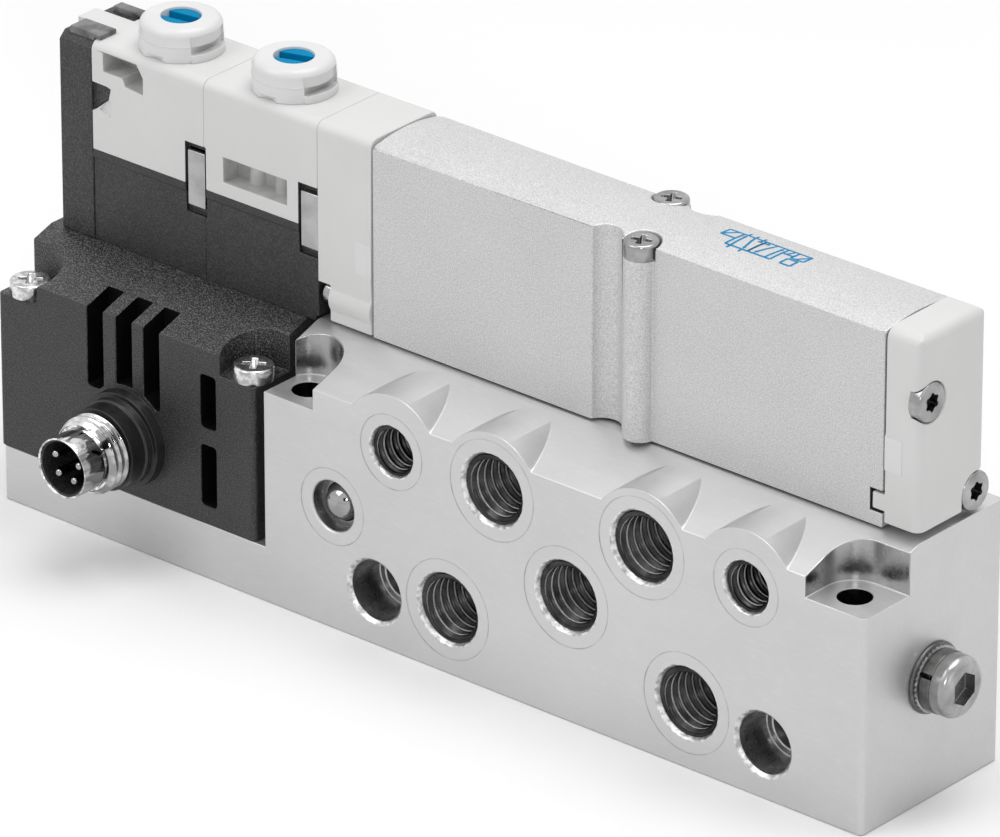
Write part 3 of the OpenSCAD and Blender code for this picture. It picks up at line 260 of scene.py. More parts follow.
materialValues = {
    "base_metal": {
        "name": "anodisedBase", "metallic": 0.8, "dark": grey(0.58), "light": grey(0.62),
        "driftSize": 14, "roughness": (0.36, 0.46), "patchSize": 2.5, "patchStretch": (0.15, 1, 1),
        "specks": {"size": 0.3, "stretch": (0.2, 1, 1), "start": 0.5, "stop": 0.75, "amount": 0.15,
                   "color": grey(0.76)},
        "relief": [{"size": 0.3, "height": 0.003, "stretch": (0.12, 1, 1), "detail": 3},
                   {"size": 0.12, "height": 0.002}],
    },
    "body_metal": {
        "name": "blastedBody", "metallic": 0.5, "dark": grey(0.48), "light": grey(0.53),
        "driftSize": 12, "roughness": (0.4, 0.55), "patchSize": 0.5,
        "specks": {"size": 0.13, "start": 0.38, "stop": 0.62, "amount": 0.6, "color": grey(0.82)},
        "relief": [{"size": 0.13, "height": 0.02}],
    },
    "white_plastic": {
        "name": "whiteMoulding", "dark": (0.66, 0.66, 0.655), "light": (0.69, 0.69, 0.685),
        "driftSize": 10, "roughness": (0.42, 0.52), "patchSize": 2,
        "relief": [{"size": 0.25, "height": 0.004}],
    },
    "cap_plastic": {
        "name": "capMoulding", "dark": grey(0.7), "light": grey(0.73),
        "driftSize": 4, "roughness": (0.28, 0.38), "patchSize": 2,
        "relief": [{"size": 0.4, "height": 0.002}],
    },
    "black_plastic": {
        "name": "blackMoulding", "dark": (0.01, 0.01, 0.0102), "light": (0.016, 0.016, 0.0163),
        "driftSize": 5, "roughness": (0.36, 0.52), "patchSize": 0.6,
        "specks": {"size": 0.16, "start": 0.48, "stop": 0.62, "amount": 0.55, "color": (0.085, 0.085, 0.086)},
        "relief": [{"size": 0.2, "height": 0.07}],
    },
    "blue_plastic": {
        "name": "blueButton", "specular": 0.02, "dark": (0.0, 0.2, 0.39), "light": (0.0, 0.24, 0.47),
        "driftSize": 3, "roughness": (0.22, 0.3), "patchSize": 1,
        "relief": [{"size": 0.3, "height": 0.002}],
    },
    "plunger_plastic": {
        "name": "plungerMoulding", "dark": (0.1, 0.09, 0.08), "light": (0.14, 0.125, 0.11),
        "driftSize": 3, "roughness": (0.4, 0.5), "patchSize": 1,
        "relief": [{"size": 0.3, "height": 0.003}],
    },
    "steel": {
        "name": "nickelSteel", "metallic": 1.0, "dark": grey(0.26), "light": grey(0.44),
        "driftSize": 1.8, "roughness": (0.2, 0.28), "patchSize": 1.2,
        "relief": [{"size": 0.6, "height": 0.002}],
    },
    "nickel": {
        "name": "polishedNickel", "metallic": 1.0, "dark": grey(0.26), "light": grey(0.42),
        "driftSize": 2, "roughness": (0.05, 0.11), "patchSize": 1.5,
        "relief": [{"size": 0.5, "height": 0.001}],
    },
    "dark_steel": {
        "name": "darkSteel", "metallic": 1.0, "dark": grey(0.1), "light": (0.2, 0.2, 0.195),
        "driftSize": 1.2, "roughness": (0.25, 0.4), "patchSize": 0.6,
        "relief": [{"size": 0.3, "height": 0.003, "detail": 3}],
    },
    "core_iron": {
        "name": "coreIron", "metallic": 1.0, "dark": (0.36, 0.36, 0.37), "light": (0.45, 0.45, 0.46),
        "driftSize": 2, "roughness": (0.25, 0.4), "patchSize": 0.8,
        "relief": [{"size": 0.2, "height": 0.003, "stretch": (1, 1, 0.1)}],
    },
    "contact_gold": {
        "name": "contactGold", "metallic": 1.0, "dark": (0.78, 0.62, 0.3), "light": (0.86, 0.7, 0.38),
        "driftSize": 1, "roughness": (0.12, 0.22), "patchSize": 0.5,
        "relief": [{"size": 0.2, "height": 0.001}],
    },
    "seal_rubber": {
        "name": "sealRubber", "dark": grey(0.012), "light": grey(0.02),
        "driftSize": 3, "roughness": (0.55, 0.7), "patchSize": 0.8,
        "relief": [{"size": 0.15, "height": 0.004}],
    },
    "winding_wire": {
        "name": "enamelledWire", "metallic": 1.0, "dark": (0.4, 0.16, 0.07), "light": (0.55, 0.24, 0.11),
        "driftSize": 2, "roughness": (0.2, 0.3), "patchSize": 0.6,
        "relief": [{"size": 0.12, "height": 0.01, "stretch": (0.02, 0.02, 1)}],
    },
    "board_green": {
        "name": "boardLacquer", "dark": (0.01, 0.08, 0.03), "light": (0.02, 0.12, 0.05),
        "driftSize": 4, "roughness": (0.25, 0.35), "patchSize": 1.5,
        "relief": [{"size": 0.5, "height": 0.003}],
    },
    # Finishes of zones and new pieces: holes, threads and cut walls darkened as painted shade, edges painted bright
    # as highlights, chrome streaked with painted reflections, steel, shade, the printed lines
    # Painted shade: bores and thread flanks coloured near black where shade falls
    "darkBore": {
        "name": "paintedBoreShadeMetal", "metallic": 1.0, "dark": grey(0.02), "light": grey(0.07),
        "driftSize": 1.5, "roughness": (0.26, 0.36), "patchSize": 0.8,
        "relief": [{"size": 0.4, "height": 0.002, "stretch": (1, 0.2, 1)}],
    },
    # Painted shade: the inside of deep holes and screw recesses coloured near black
    "deepRecess": {
        "name": "deepRecess", "metallic": 1.0, "dark": grey(0.02), "light": grey(0.06),
        "driftSize": 1, "roughness": (0.3, 0.45), "patchSize": 0.5,
        "relief": [{"size": 0.3, "height": 0.003}],
    },
    # Painted shade: walls of counterbores, ball holes and screw recesses coloured darker grey
    "milledWall": {
        "name": "milledWall", "metallic": 1.0, "dark": grey(0.22), "light": grey(0.32),
        "driftSize": 2.5, "roughness": (0.24, 0.34), "patchSize": 0.8,
        "relief": [{"size": 0.4, "height": 0.002, "stretch": (0.3, 0.3, 1)}],
    },
    # Painted shade: the cross holes' walls coloured darker, with streaks along the bore
    "boredWall": {
        "name": "boredWall", "metallic": 0.85, "dark": grey(0.2), "light": grey(0.5),
        "driftSize": 1.6, "driftStretch": (1, 0.3, 1), "roughness": (0.22, 0.36), "patchSize": 0.8,
        "relief": [{"size": 0.4, "height": 0.003, "stretch": (0.3, 1, 0.3)}],
    },
    # Painted shade: walls of the milled pockets coloured darker than the block, streaked upward
    "pocketWall": {
        "name": "pocketWall", "metallic": 1.0, "dark": grey(0.3), "light": grey(0.42),
        "driftSize": 2, "driftStretch": (1, 1, 0.15), "roughness": (0.2, 0.3), "patchSize": 0.8,
        "relief": [{"size": 0.4, "height": 0.002, "stretch": (0.3, 0.3, 1)}],
    },
    # Painted reflection: dark and bright streaks along the sleeve's axis stand in for the studio's reflections
    "paintedReflectionChrome": {
        "name": "paintedReflectionChrome", "metallic": 1.0, "dark": grey(0.3), "light": grey(1.0),
        "driftSize": 1.1, "driftStretch": (1, 0.06, 1), "driftRange": (0.4, 0.6),
        "roughness": (0.05, 0.12), "patchSize": 1.2,
        "relief": [{"size": 0.5, "height": 0.001}],
    },
    # Painted reflection: dark and bright bands on the plug thread stand in for the studio's reflections
    "paintedReflectionThreadChrome": {
        "name": "paintedReflectionThreadChrome", "metallic": 1.0, "dark": grey(0.3), "light": grey(0.9),
        "driftSize": 2.6, "driftStretch": (1, 0.3, 1), "driftRange": (0.38, 0.62),
        "roughness": (0.05, 0.1), "patchSize": 1.2,
        "relief": [{"size": 0.5, "height": 0.001}],
    },
    "brightSteel": {
        "name": "brightSteel", "metallic": 1.0, "dark": grey(0.42), "light": grey(0.8),
        "driftSize": 0.7, "driftRange": (0.4, 0.6), "roughness": (0.18, 0.3), "patchSize": 0.8,
        "relief": [{"size": 0.4, "height": 0.004}],
    },
    # Painted highlight: thread crests and thin edge lines coloured bright where light glints
    "crestMetal": {
        "name": "crestMetal", "metallic": 0.1, "dark": grey(0.75), "light": grey(1.0),
        "driftSize": 0.5, "driftRange": (0.4, 0.6), "roughness": (0.4, 0.5), "patchSize": 0.4,
        "relief": [{"size": 0.15, "height": 0.01}],
    },
    "rimMetal": {
        "name": "rimMetal", "metallic": 0.9, "dark": grey(0.38), "light": grey(0.78),
        "driftSize": 0.6, "driftRange": (0.36, 0.6), "roughness": (0.26, 0.4), "patchSize": 0.4,
        "relief": [{"size": 0.3, "height": 0.03, "detail": 3}],
    },
    "toolMark": {
        "name": "toolMark", "metallic": 0.8, "dark": grey(0.36), "light": grey(0.56),
        "driftSize": 1.5, "roughness": (0.35, 0.45), "patchSize": 0.6,
        "relief": [{"size": 0.2, "height": 0.003}],
    },
    "shadedWhite": {
        "name": "shadedWhite", "dark": (0.42, 0.42, 0.415), "light": (0.62, 0.62, 0.615),
        "driftSize": 2.5, "roughness": (0.45, 0.55), "patchSize": 2,
        "relief": [{"size": 0.25, "height": 0.004}],
    },
    # Painted shade: grooves and slots of the black plug housing coloured deeper black
    "blackRecess": {
        "name": "blackRecess", "specular": 0.08, "dark": grey(0.002), "light": grey(0.004),
        "driftSize": 2, "roughness": (0.55, 0.65), "patchSize": 1,
        "relief": [{"size": 0.25, "height": 0.01}],
    },
    "smoothBlack": {
        "name": "smoothBlack", "dark": (0.01, 0.01, 0.0102), "light": (0.016, 0.016, 0.0163),
        "driftSize": 5, "roughness": (0.36, 0.52), "patchSize": 0.6,
        "specks": {"size": 0.18, "start": 0.48, "stop": 0.64, "amount": 0.42, "color": (0.075, 0.075, 0.076)},
        "relief": [{"size": 0.22, "height": 0.05}],
    },
    "bossBlack": {
        "name": "bossBlack", "dark": grey(0.006), "light": grey(0.012),
        "driftSize": 3, "roughness": (0.3, 0.42), "patchSize": 0.8,
        "relief": [{"size": 0.3, "height": 0.02}],
    },
    "grainedBlack": {
        "name": "grainedBlack", "dark": grey(0.006), "light": grey(0.014),
        "driftSize": 2.5, "roughness": (0.3, 0.5), "patchSize": 0.5,
        "specks": {"size": 0.15, "start": 0.5, "stop": 0.6, "amount": 0.85, "color": (0.15, 0.15, 0.151)},
        "relief": [{"size": 0.17, "height": 0.09}],
    },
    "clipSteel": {
        "name": "clipSteel", "metallic": 1.0, "dark": grey(0.34), "light": grey(0.46),
        "driftSize": 1.6, "roughness": (0.25, 0.36), "patchSize": 0.8,
        "relief": [{"size": 0.4, "height": 0.003}],
    },
    # Wear and painted sheen: the tops of the black end plate coloured lighter grey
    "wornBlack": {
        "name": "wornBlack", "dark": grey(0.04), "light": grey(0.22),
        "driftSize": 1.6, "roughness": (0.15, 0.3), "patchSize": 0.6,
        "relief": [{"size": 0.5, "height": 0.004}],
    },
    "gapShade": {
        "name": "gapShade", "dark": grey(0.02), "light": grey(0.04),
        "driftSize": 1, "roughness": (0.6, 0.7), "patchSize": 0.6,
        "relief": [{"size": 0.3, "height": 0.003}],
    },
    "printBlue": {
        "name": "printedLines", "specular": 0.08, "dark": (0.0, 0.19, 0.4), "light": (0.01, 0.24, 0.48),
        "driftSize": 2, "roughness": (0.4, 0.5), "patchSize": 0.5,
        "relief": [{"size": 0.2, "height": 0.004}],
    },
}

materials = {key: surface(values) for key, values in materialValues.items()}
nodeSlot = {part["node"]: part["material_slot"] for part in frame["record"]["subparts"]}
nodeBody = {name: body for body, names in frame["record"]["behaviour"]["bodies"].items() for name in names}

for nodeName, nodeObject in frame["nodes"].items():
    nodeObject.data.materials.clear()
    nodeObject.data.materials.append(materials[nodeSlot[nodeName]])
print("materials made:", len(materials))


# Stage: a white floor, and a dark card behind the camera that bright metal shows as the dark bands of a studio

floorValues = {"size": 3000, "below": 0.05, "color": grey(0.93)}
cardValues = {"place": (900, -1050, 640), "aim": (0, 0, 20), "width": 1000, "height": 460, "color": grey(0.02)}


def startSheet(width, height):
    work = bmesh.new()
    bmesh.ops.create_grid(work, x_segments=1, y_segments=1, size=0.5)  # one unit each way
    bmesh.ops.scale(work, verts=work.verts, vec=(width * mm, height * mm, 1))
    return work


def matte(name, color):
    material = bpy.data.materials.new(name)
    tree = startNodes(material)
    output = addNode(tree, "ShaderNodeOutputMaterial")
    shader = addNode(tree, "ShaderNodeBsdfDiffuse")
    shader.inputs["Color"].default_value = (*color, 1)
    tree.links.new(shader.outputs[0], output.inputs[0])
    return material


def makeFloor(values):
    floor = bpy.data.objects.new("floor", meshFrom(startSheet(values["size"], values["size"]), "floor"))
    scene.collection.objects.link(floor)
    floor.location.z = -values["below"] * mm
    floor.data.materials.append(matte("floorPaper", values["color"]))


def makeCard(values):
    work = startSheet(values["width"], values["height"])
    place = Vector(values["place"]) * mm
    turn = turnTowards(place, values["aim"]).to_matrix()
    bmesh.ops.rotate(work, verts=work.verts, cent=(0, 0, 0), matrix=turn)
    bmesh.ops.translate(work, verts=work.verts, vec=place)
    card = bpy.data.objects.new("darkCard", meshFrom(work, "darkCard"))
    scene.collection.objects.link(card)
    card.data.materials.append(matte("cardFelt", values["color"]))
    card.visible_camera = False
    card.visible_shadow = False


makeFloor(floorValues)
makeCard(cardValues)
print("floor and card made")


# Pieces

mergeDistance = 0.002 * mm
pieceAngle = 32  # degrees from which an edge shows sharp


def smoothFaces(mesh, angle):
    for face in mesh.polygons:
        face.use_smooth = True
    mesh.set_sharp_from_angle(angle=math.radians(angle))


def addPiece(name, mesh, body, slot, smooth=True, angle=pieceAngle, finish=None):
    piece = bpy.data.objects.new(name, mesh)
    scene.collection.objects.link(piece)
    mesh.materials.append(materials[finish or slot])
    if smooth:
        smoothFaces(mesh, angle)
    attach(piece, body)
    return piece


def mergedCopy(nodeName):
    work = bmesh.new()
    work.from_mesh(frame["nodes"][nodeName].data)
    bmesh.ops.remove_doubles(work, verts=work.verts, dist=mergeDistance)
    return work


# Holes in the base's front face: X from the middle of the ports, and Z
frontY = -10.25
portsX = 18.4
holeEndY = 9.5
mainPorts = {"A": (-9.25, 21.3), "B": (9.25, 21.3), "Supply": (0, 13.05), "C": (-14.85, 6.8), "E": (14.85, 6.8)}
pilotPorts = {"PilotA": (-21.9, 21.3), "PilotB": (21.9, 21.3)}
holePlaces = {
    "main": list(mainPorts.values()),
    "pilot": list(pilotPorts.values()),
    "cross": [(-24.15, 5.6), (24.15, 5.6)],
    "ball": [(-29.45, 13.05)],
}
spotRadius = {"main": 5.2, "pilot": 3.9, "ball": 4.0}
spotFaces = [(*place, radius) for kind, radius in spotRadius.items() for place in holePlaces[kind]]

# How deep a spot face's edge lies at most, and how near to its circle
spotLimits = {"deep": 0.05, "near": 0.03}

# Rings of a hole: radius, depth at which the ring starts, and finish. A later ring covers an earlier one.
holeRings = {
    # Past its rim, each port's bore is painted dark as shade
    "main": [(4.4, 0.03, "rimMetal"), (3.6, 0.7, "darkBore")],
    "pilot": [(4.4, 0.03, "rimMetal"), (2.6, 0.7, "darkBore")],
    # Rim, wall darkened as painted shade, a painted highlight line at its foot, the ledge darkened as painted
    # shade, a painted highlight line at the seat's rim, and the seat and the bore painted dark as shade
    "cross": [(3.7, 0.03, "rimMetal"), (3.15, 0.45, "boredWall"), (3.15, 4.3, "crestMetal"),
              (3.15, 4.395, "milledWall"), (2.6, 4.404, "crestMetal"), (2.5, 4.47, "deepRecess")],
    # The ball's hole is painted darker grey as shade
    "ball": [(2.7, 0.3, "milledWall")],
}

# Mounting holes down through the base, painted near black as shade, and the milled pockets round their tops, whose
# walls are darker as painted shade
mountValues = {
    "places": (-16.8, 50.7), "y": -7.0, "radius": 1.75, "from": 0.5, "to": 22.4,
    "pocketLow": (-3.4, -10.2, 22.7), "pocketHigh": (4, -3.6, 27.3),
}

# Grooves and slots of the plug housing: left side and top of each
plugSlots = {"places": [(-42.9, 24), (-39.1, 24), (-35.5, 24), (-28.05, 22.3)], "before": 0.15, "after": 2.25,
             "front": -10.1, "back": -5, "bottom": 4}

# Slit of an override cap from the cap's middle, cross recess of a captive screw, star recess of an end cap screw
slitValues = {"low": (2.98, 0.1, 49.2), "high": (3.9, 5.0, 50.0)}
crossRecess = {"radius": 1.25, "from": 47.2, "to": 48.05}
starRecess = {"radius": 0.95, "from": 53.5, "to": 54.35}

# Thin pads whose rims stay plain
endPad = ((50.1, -2.5, 33.7), (52.4, -2.3, 37.4))
adapterPad = ((-14.95, -2.5, 33.7), (-12.75, -2.3, 37.4))

# Round plug: its axis and front, and the boss on the housing behind it
connector = {"x": -37.7, "z": 12.1, "front": -19.75, "bossRadius": 5.6, "bossFrom": -15, "bossTo": -10.3}


# Zones of a piece whose faces take another finish: a round hole along an axis, or a block
def roundZone(axis, across, radius, low, high, finish):
    return {"axis": "XYZ".index(axis), "center": across, "radius": radius,
            "from": low, "to": high, "finish": finish}


def blockZone(low, high, finish):
    return {"low": low, "high": high, "finish": finish}


def ringZone(place, radius, depth, finish):
    return roundZone("Y", (portsX + place[0], place[1]), radius, frontY + depth, holeEndY, finish)


def blockAt(x, low, high, finish):
    return blockZone((x + low[0], *low[1:]), (x + high[0], *high[1:]), finish)


def recessZone(axis, across, values, finish):
    return roundZone(axis, across, values["radius"], values["from"], values["to"], finish)


def mountZones(x, values):
    return [recessZone("Z", (x, values["y"]), values, "deepRecess"),
            blockAt(x, values["pocketLow"], values["pocketHigh"], "pocketWall")]


# The grooves and slots are painted deeper black as shade
def slotZone(x, top, values):
    return blockZone((x - values["before"], values["front"], values["bottom"]),
                     (x + values["after"], values["back"], top), "blackRecess")


baseZones = [ringZone(place, *ring)
             for kind, rings in holeRings.items() for place in holePlaces[kind] for ring in rings]
for mountX in mountValues["places"]:
    baseZones += mountZones(mountX, mountValues)

plugZones = [blockZone((-54.7, -9.95, 19), (-21.2, 9.9, 40), "grainedBlack")]
plugZones += [slotZone(x, top, plugSlots) for x, top in plugSlots["places"]]
plugZones += [roundZone("Y", (connector["x"], connector["z"]), connector["bossRadius"], connector["bossFrom"],
                        connector["bossTo"], "bossBlack")]

# Shaded recesses of the two pilot covers, and the dark gaps beside their clips
outerCoverZones = [blockZone((-47.9, -2.2, 43.5), (-42.2, 0.9, 48), "shadedWhite"),
                   blockZone((-36.9, -2.3, 33.5), (-34.1, -1.6, 42), "gapShade")]
innerCoverZones = [blockZone((-31.95, -2.2, 37.5), (-23.4, 0.4, 46), "shadedWhite"),
                   blockZone((-34.4, -2.3, 33.5), (-34.0, -1.6, 42), "gapShade"),
                   blockZone((-22.3, -2.3, 33.5), (-19.6, -1.6, 42), "gapShade")]

outerSlitZones = [blockAt(-41.325, slitValues["low"], slitValues["high"], "shadedWhite")]
innerSlitZones = [blockAt(-26.675, slitValues["low"], slitValues["high"], "shadedWhite")]
# The cross recesses of the captive screws are painted darker grey as shade
crossZones = [recessZone("Z", place, crossRecess, "milledWall") for place in ((20.55, -2.0), (16.65, 7.1))]
# The star recesses of the end cap screws are painted near black as shade
starZones = [recessZone("X", place, starRecess, "deepRecess") for place in ((-0.71, 41.4), (6.2, 29.7))]

# Angles in degrees: faces that are nearly flat to each other are joined, and edges from the sharp angle are rounded
edgeRules = {"flat": 0.4, "sharp": 28, "level": 1e-6, "fair": 100}

# Merged copies of the solids with rounded edges stand in for them. Each gives the width and the steps of its
# rounding, and some a wider rounding, a plain block whose edges stay, zones, or a finish other than their slot's.
edgeValues = {
    "sub_base": {"width": 0.1, "segments": 2, "zones": baseZones},
    "valve_body": {"width": 0.14, "segments": 3,
                   "wide": {"low": 47.6, "high": 48.0, "longer": 2, "width": 0.4, "segments": 4},
                   "zones": [blockZone((48.4, -2.3, 29.0), (50.0, -1.0, 31.6), "gapShade")]},
    "end_cap": {"width": 0.16, "segments": 3, "plain": endPad,
                "zones": [blockZone((50.2, -2.45, 33.8), (52.3, -2.37, 37.3), "cap_plastic")]},
    "adapter": {"width": 0.14, "segments": 3, "plain": adapterPad,
                "zones": [blockZone(adapterPad[0], (adapterPad[1][0], -2.37, 37.3), "cap_plastic")]},
    "pilot_cover_outer": {"width": 0.12, "segments": 2, "zones": outerCoverZones},
    "pilot_cover_inner": {"width": 0.12, "segments": 2, "zones": innerCoverZones},
    "coil_housing_outer": {"width": 0.08, "segments": 2, "finish": "smoothBlack"},
    "coil_housing_inner": {"width": 0.08, "segments": 2, "finish": "smoothBlack"},
    "end_plate": {"width": 0.14, "segments": 2,
                  # Its top is lighter grey, for wear and painted sheen
                  "zones": [blockZone((-54, -2, 48.45), (-48, 8, 49.2), "wornBlack")]},
    "plug_housing": {"width": 0.12, "segments": 2, "zones": plugZones},
    "retaining_clips": {"width": 0.13, "segments": 3, "finish": "clipSteel"},
    "override_cap_outer": {"width": 0.08, "segments": 2, "zones": outerSlitZones},
    "override_cap_inner": {"width": 0.08, "segments": 2, "zones": innerSlitZones},
    "override_button_outer": {"width": 0.06, "segments": 2},
    "override_button_inner": {"width": 0.06, "segments": 2},
    "captive_screws": {"width": 0.05, "segments": 2, "zones": crossZones},
    "housing_screws": {"width": 0.05, "segments": 2, "finish": "brightSteel"},
    "end_cap_screws": {"width": 0.05, "segments": 2, "zones": starZones},
    "adapter_screws": {"width": 0.05, "segments": 2},
    "earth_screw": {"width": 0.07, "segments": 2,
                    # Its hex socket is painted darker grey as shade
                    "zones": [roundZone("X", (0, 12.75), 1.65, 57.1, 58.3, "milledWall")]},
    "lock_washer": {"width": 0.12, "segments": 3},
}


def insideZone(point, zone):
    if "low" in zone:
        return all(low < value < high for low, value, high in zip(zone["low"], point, zone["high"]))
    across = [point[index] for index in range(3) if index != zone["axis"]]
    near = math.hypot(across[0] - zone["center"][0], across[1] - zone["center"][1]) < zone["radius"]
    return near and zone["from"] < point[zone["axis"]] < zone["to"]


def bevelEdges(work, edges, width, segments):
    bmesh.ops.bevel(work, geom=edges, offset=width * mm, offset_type="OFFSET", segments=segments, profile=0.5,
                    affect="EDGES", clamp_overlap=False, material=-1)


# The edge of a spot face is a step too shallow to round
def onSpotFace(edge):
    def onRim(vert):
        return any(abs(math.hypot(vert.co.x / mm - portsX - dx, vert.co.z / mm - z) - radius) < spotLimits["near"]
                   for dx, z, radius in spotFaces)

    shallow = frontY + spotLimits["deep"]
    return all(vert.co.y / mm < shallow and vert.co.z > 0 and onRim(vert) for vert in edge.verts)


# Level edges of a crowned top, which get a wider rounding
def wideEdges(work, wide):
    return [edge for edge in work.edges if edge.calc_length() > wide["longer"] * mm
            and all(wide["low"] < vert.co.z / mm < wide["high"] for vert in edge.verts)
            and abs(edge.verts[0].co.y - edge.verts[1].co.y) < edgeRules["level"]]


def roundEdges(name, values):
    work = mergedCopy(name)
    bmesh.ops.dissolve_limit(work, angle_limit=math.radians(edgeRules["flat"]),
                             verts=work.verts, edges=work.edges)
    if "wide" in values:
        bevelEdges(work, wideEdges(work, values["wide"]), values["wide"]["width"], values["wide"]["segments"])
    sharp = [edge for edge in work.edges
             if len(edge.link_faces) == 2 and edge.calc_face_angle(0) > math.radians(edgeRules["sharp"])]
    if name == "sub_base":
        sharp = [edge for edge in sharp if not onSpotFace(edge)]
    if "plain" in values:
        plain = blockZone(*values["plain"], None)
        sharp = [edge for edge in sharp if not all(insideZone(vert.co / mm, plain) for vert in edge.verts)]
    bevelEdges(work, sharp, values["width"], values["segments"])
    bmesh.ops.recalc_face_normals(work, faces=work.faces)
    zones = values.get("zones", [])
    finishes = sorted({zone["finish"] for zone in zones})
    for face in work.faces:
        center = face.calc_center_median() / mm
        for zone in zones:
            if insideZone(center, zone):
                face.material_index = 1 + finishes.index(zone["finish"])
    mesh = meshFrom(work, name + "Finished")
    piece = addPiece(name + "Finished", mesh, nodeBody[name], nodeSlot[name], finish=values.get("finish"))
    for finish in finishes:
        mesh.materials.append(materials[finish])
    fair = piece.modifiers.new("faceNormals", "WEIGHTED_NORMAL")
    fair.weight = edgeRules["fair"]
    fair.keep_sharp = True
    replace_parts(piece, name)


for nodeName, edgeSetting in edgeValues.items():
    roundEdges(nodeName, edgeSetting)
print("edges rounded:", len(edgeValues))


# Threads: one pitch of the profile is spun along its axis, then both ends are cut flat and led to the back
# radius. The profile gives shares of the pitch, and heights from the root, 0, to the crest, 1.

# How near a point is to a cut to count as on it, in metres, and to the crest's radius, in millimetres
threadRules = {"cut": 1e-7, "onCut": 2e-6, "crestEdge": 0.01}


def radiusOf(vert):
    return math.hypot(vert.co.x, vert.co.z)


def scaleAcross(vert, factor):
    vert.co.x *= factor
    vert.co.z *= factor


# Cuts the turns flat at a place along the axis, and leads the cut to the back radius
def closeEnd(work, place, side, back):
    bmesh.ops.bisect_plane(work, geom=work.verts[:] + work.edges[:] + work.faces[:], dist=threadRules["cut"],
                           plane_co=(0, place * mm, 0), plane_no=(0, side, 0), clear_outer=True)
    border = [edge for edge in work.edges if edge.is_boundary
              and all(abs(vert.co.y - place * mm) < threadRules["onCut"] for vert in edge.verts)]
    made = bmesh.ops.extrude_edge_only(work, edges=border)["geom"]
    for vert in (part for part in made if isinstance(part, bmesh.types.BMVert)):
        scaleAcross(vert, back * mm / radiusOf(vert))
    return [part for part in made if isinstance(part, bmesh.types.BMEdge) and part.is_boundary]


def threadMesh(values, center):
    pitch, start, around = values["pitch"], values["start"], values["around"]
    work = bmesh.new()
    profile = []
    for share, height in values["profile"]:
        radius = values["root"] + (values["crest"] - values["root"]) * height
        profile.append(work.verts.new((radius * mm, (start + (share - 1) * pitch) * mm, 0)))
    edges = [work.edges.new(pair) for pair in zip(profile, profile[1:])]
    turns = math.ceil(values["length"] / pitch) + 1
    bmesh.ops.spin(work, geom=profile + edges, cent=(0, 0, 0), axis=(0, 1, 0), dvec=(0, pitch / around * mm, 0),
                   angle=2 * math.pi * turns, steps=around * turns, use_merge=False, use_duplicate=False)
    bmesh.ops.remove_doubles(work, verts=work.verts, dist=mergeDistance)
    rims = closeEnd(work, start, -1, values["back"])
    rims += closeEnd(work, start + values["length"], 1, values["back"])
    bmesh.ops.bridge_loops(work, edges=rims)
    bmesh.ops.recalc_face_normals(work, faces=work.faces)
    if "taper" in values:  # the first turn grows out of the sleeve
        for vert in work.verts:
            reach = radiusOf(vert) / mm
            limit = values["back"] + max(vert.co.y / mm - start, 0) * values["taper"]
            if reach > limit:
                scaleAcross(vert, limit / reach)
    # Crest faces take the second finish, a painted highlight; the other faces keep the first, painted shade
    if "crestHighlight" in values:
        crestEdge = values["crest"] + threadRules["crestEdge"]
        for face in work.faces:
            face.material_index = int(max(radiusOf(vert) / mm for vert in face.verts) < crestEdge)
    bmesh.ops.translate(work, verts=work.verts, vec=(center[0] * mm, 0, center[1] * mm))
    return meshFrom(work, values["name"])


# Round parts: a profile of (radius, place along the axis) is spun once
latheMerge = 0.0005 * mm


def lathe(name, profile, center, axis="Y", steps=96):
    work = bmesh.new()
    verts = [work.verts.new((radius * mm, along * mm, 0)) for radius, along in profile]
    edges = [work.edges.new(pair) for pair in zip(verts, verts[1:])]
    if profile[0][0] > 0 and profile[-1][0] > 0:
        edges.append(work.edges.new((verts[-1], verts[0])))
    bmesh.ops.spin(work, geom=verts + edges, cent=(0, 0, 0), axis=(0, 1, 0), angle=2 * math.pi, steps=steps,
                   use_merge=True, use_duplicate=False)
    bmesh.ops.remove_doubles(work, verts=work.verts, dist=latheMerge)
    if axis == "X":
        bmesh.ops.rotate(work, verts=work.verts, cent=(0, 0, 0), matrix=Matrix.Rotation(-math.pi / 2, 3, "Z"))
    bmesh.ops.translate(work, verts=work.verts, vec=[value * mm for value in center])
    bmesh.ops.recalc_face_normals(work, faces=work.faces)
    return meshFrom(work, name)


# Threads of the ports: flanks painted dark as shade, and crests painted bright as highlights
portThread = {
    "start": frontY + 0.45, "length": 7.4, "pitch": 1.02, "around": 64, "sharp": 60, "crestHighlight": "crestMetal",
    "profile": [(0, 0), (0.08, 0), (0.25, 0.48), (0.4, 1), (0.6, 1), (0.75, 0.48), (0.92, 0), (1, 0)],
}
mainThread = {**portThread, "root": 3.47, "crest": 2.98, "back": 3.495}
pilotThread = {**portThread, "pitch": 1.0, "root": 2.47, "crest": 2.13, "back": 2.495}


def makePortThreads(ports, values):
    for portName, (dx, z) in ports.items():
        setting = {**values, "name": "portThread" + portName}
        mesh = threadMesh(setting, (portsX + dx, z))
        addPiece(setting["name"], mesh, "valve", "base_metal", angle=setting["sharp"], finish="darkBore")
        mesh.materials.append(materials[setting["crestHighlight"]])


makePortThreads(mainPorts, mainThread)
makePortThreads(pilotPorts, pilotThread)
print("port threads made:", len(mainPorts) + len(pilotPorts))


# Fine rings that the spot-facing tool leaves around the holes
toolRing = {"half": 0.05, "proud": 0.006, "sunk": 0.02}


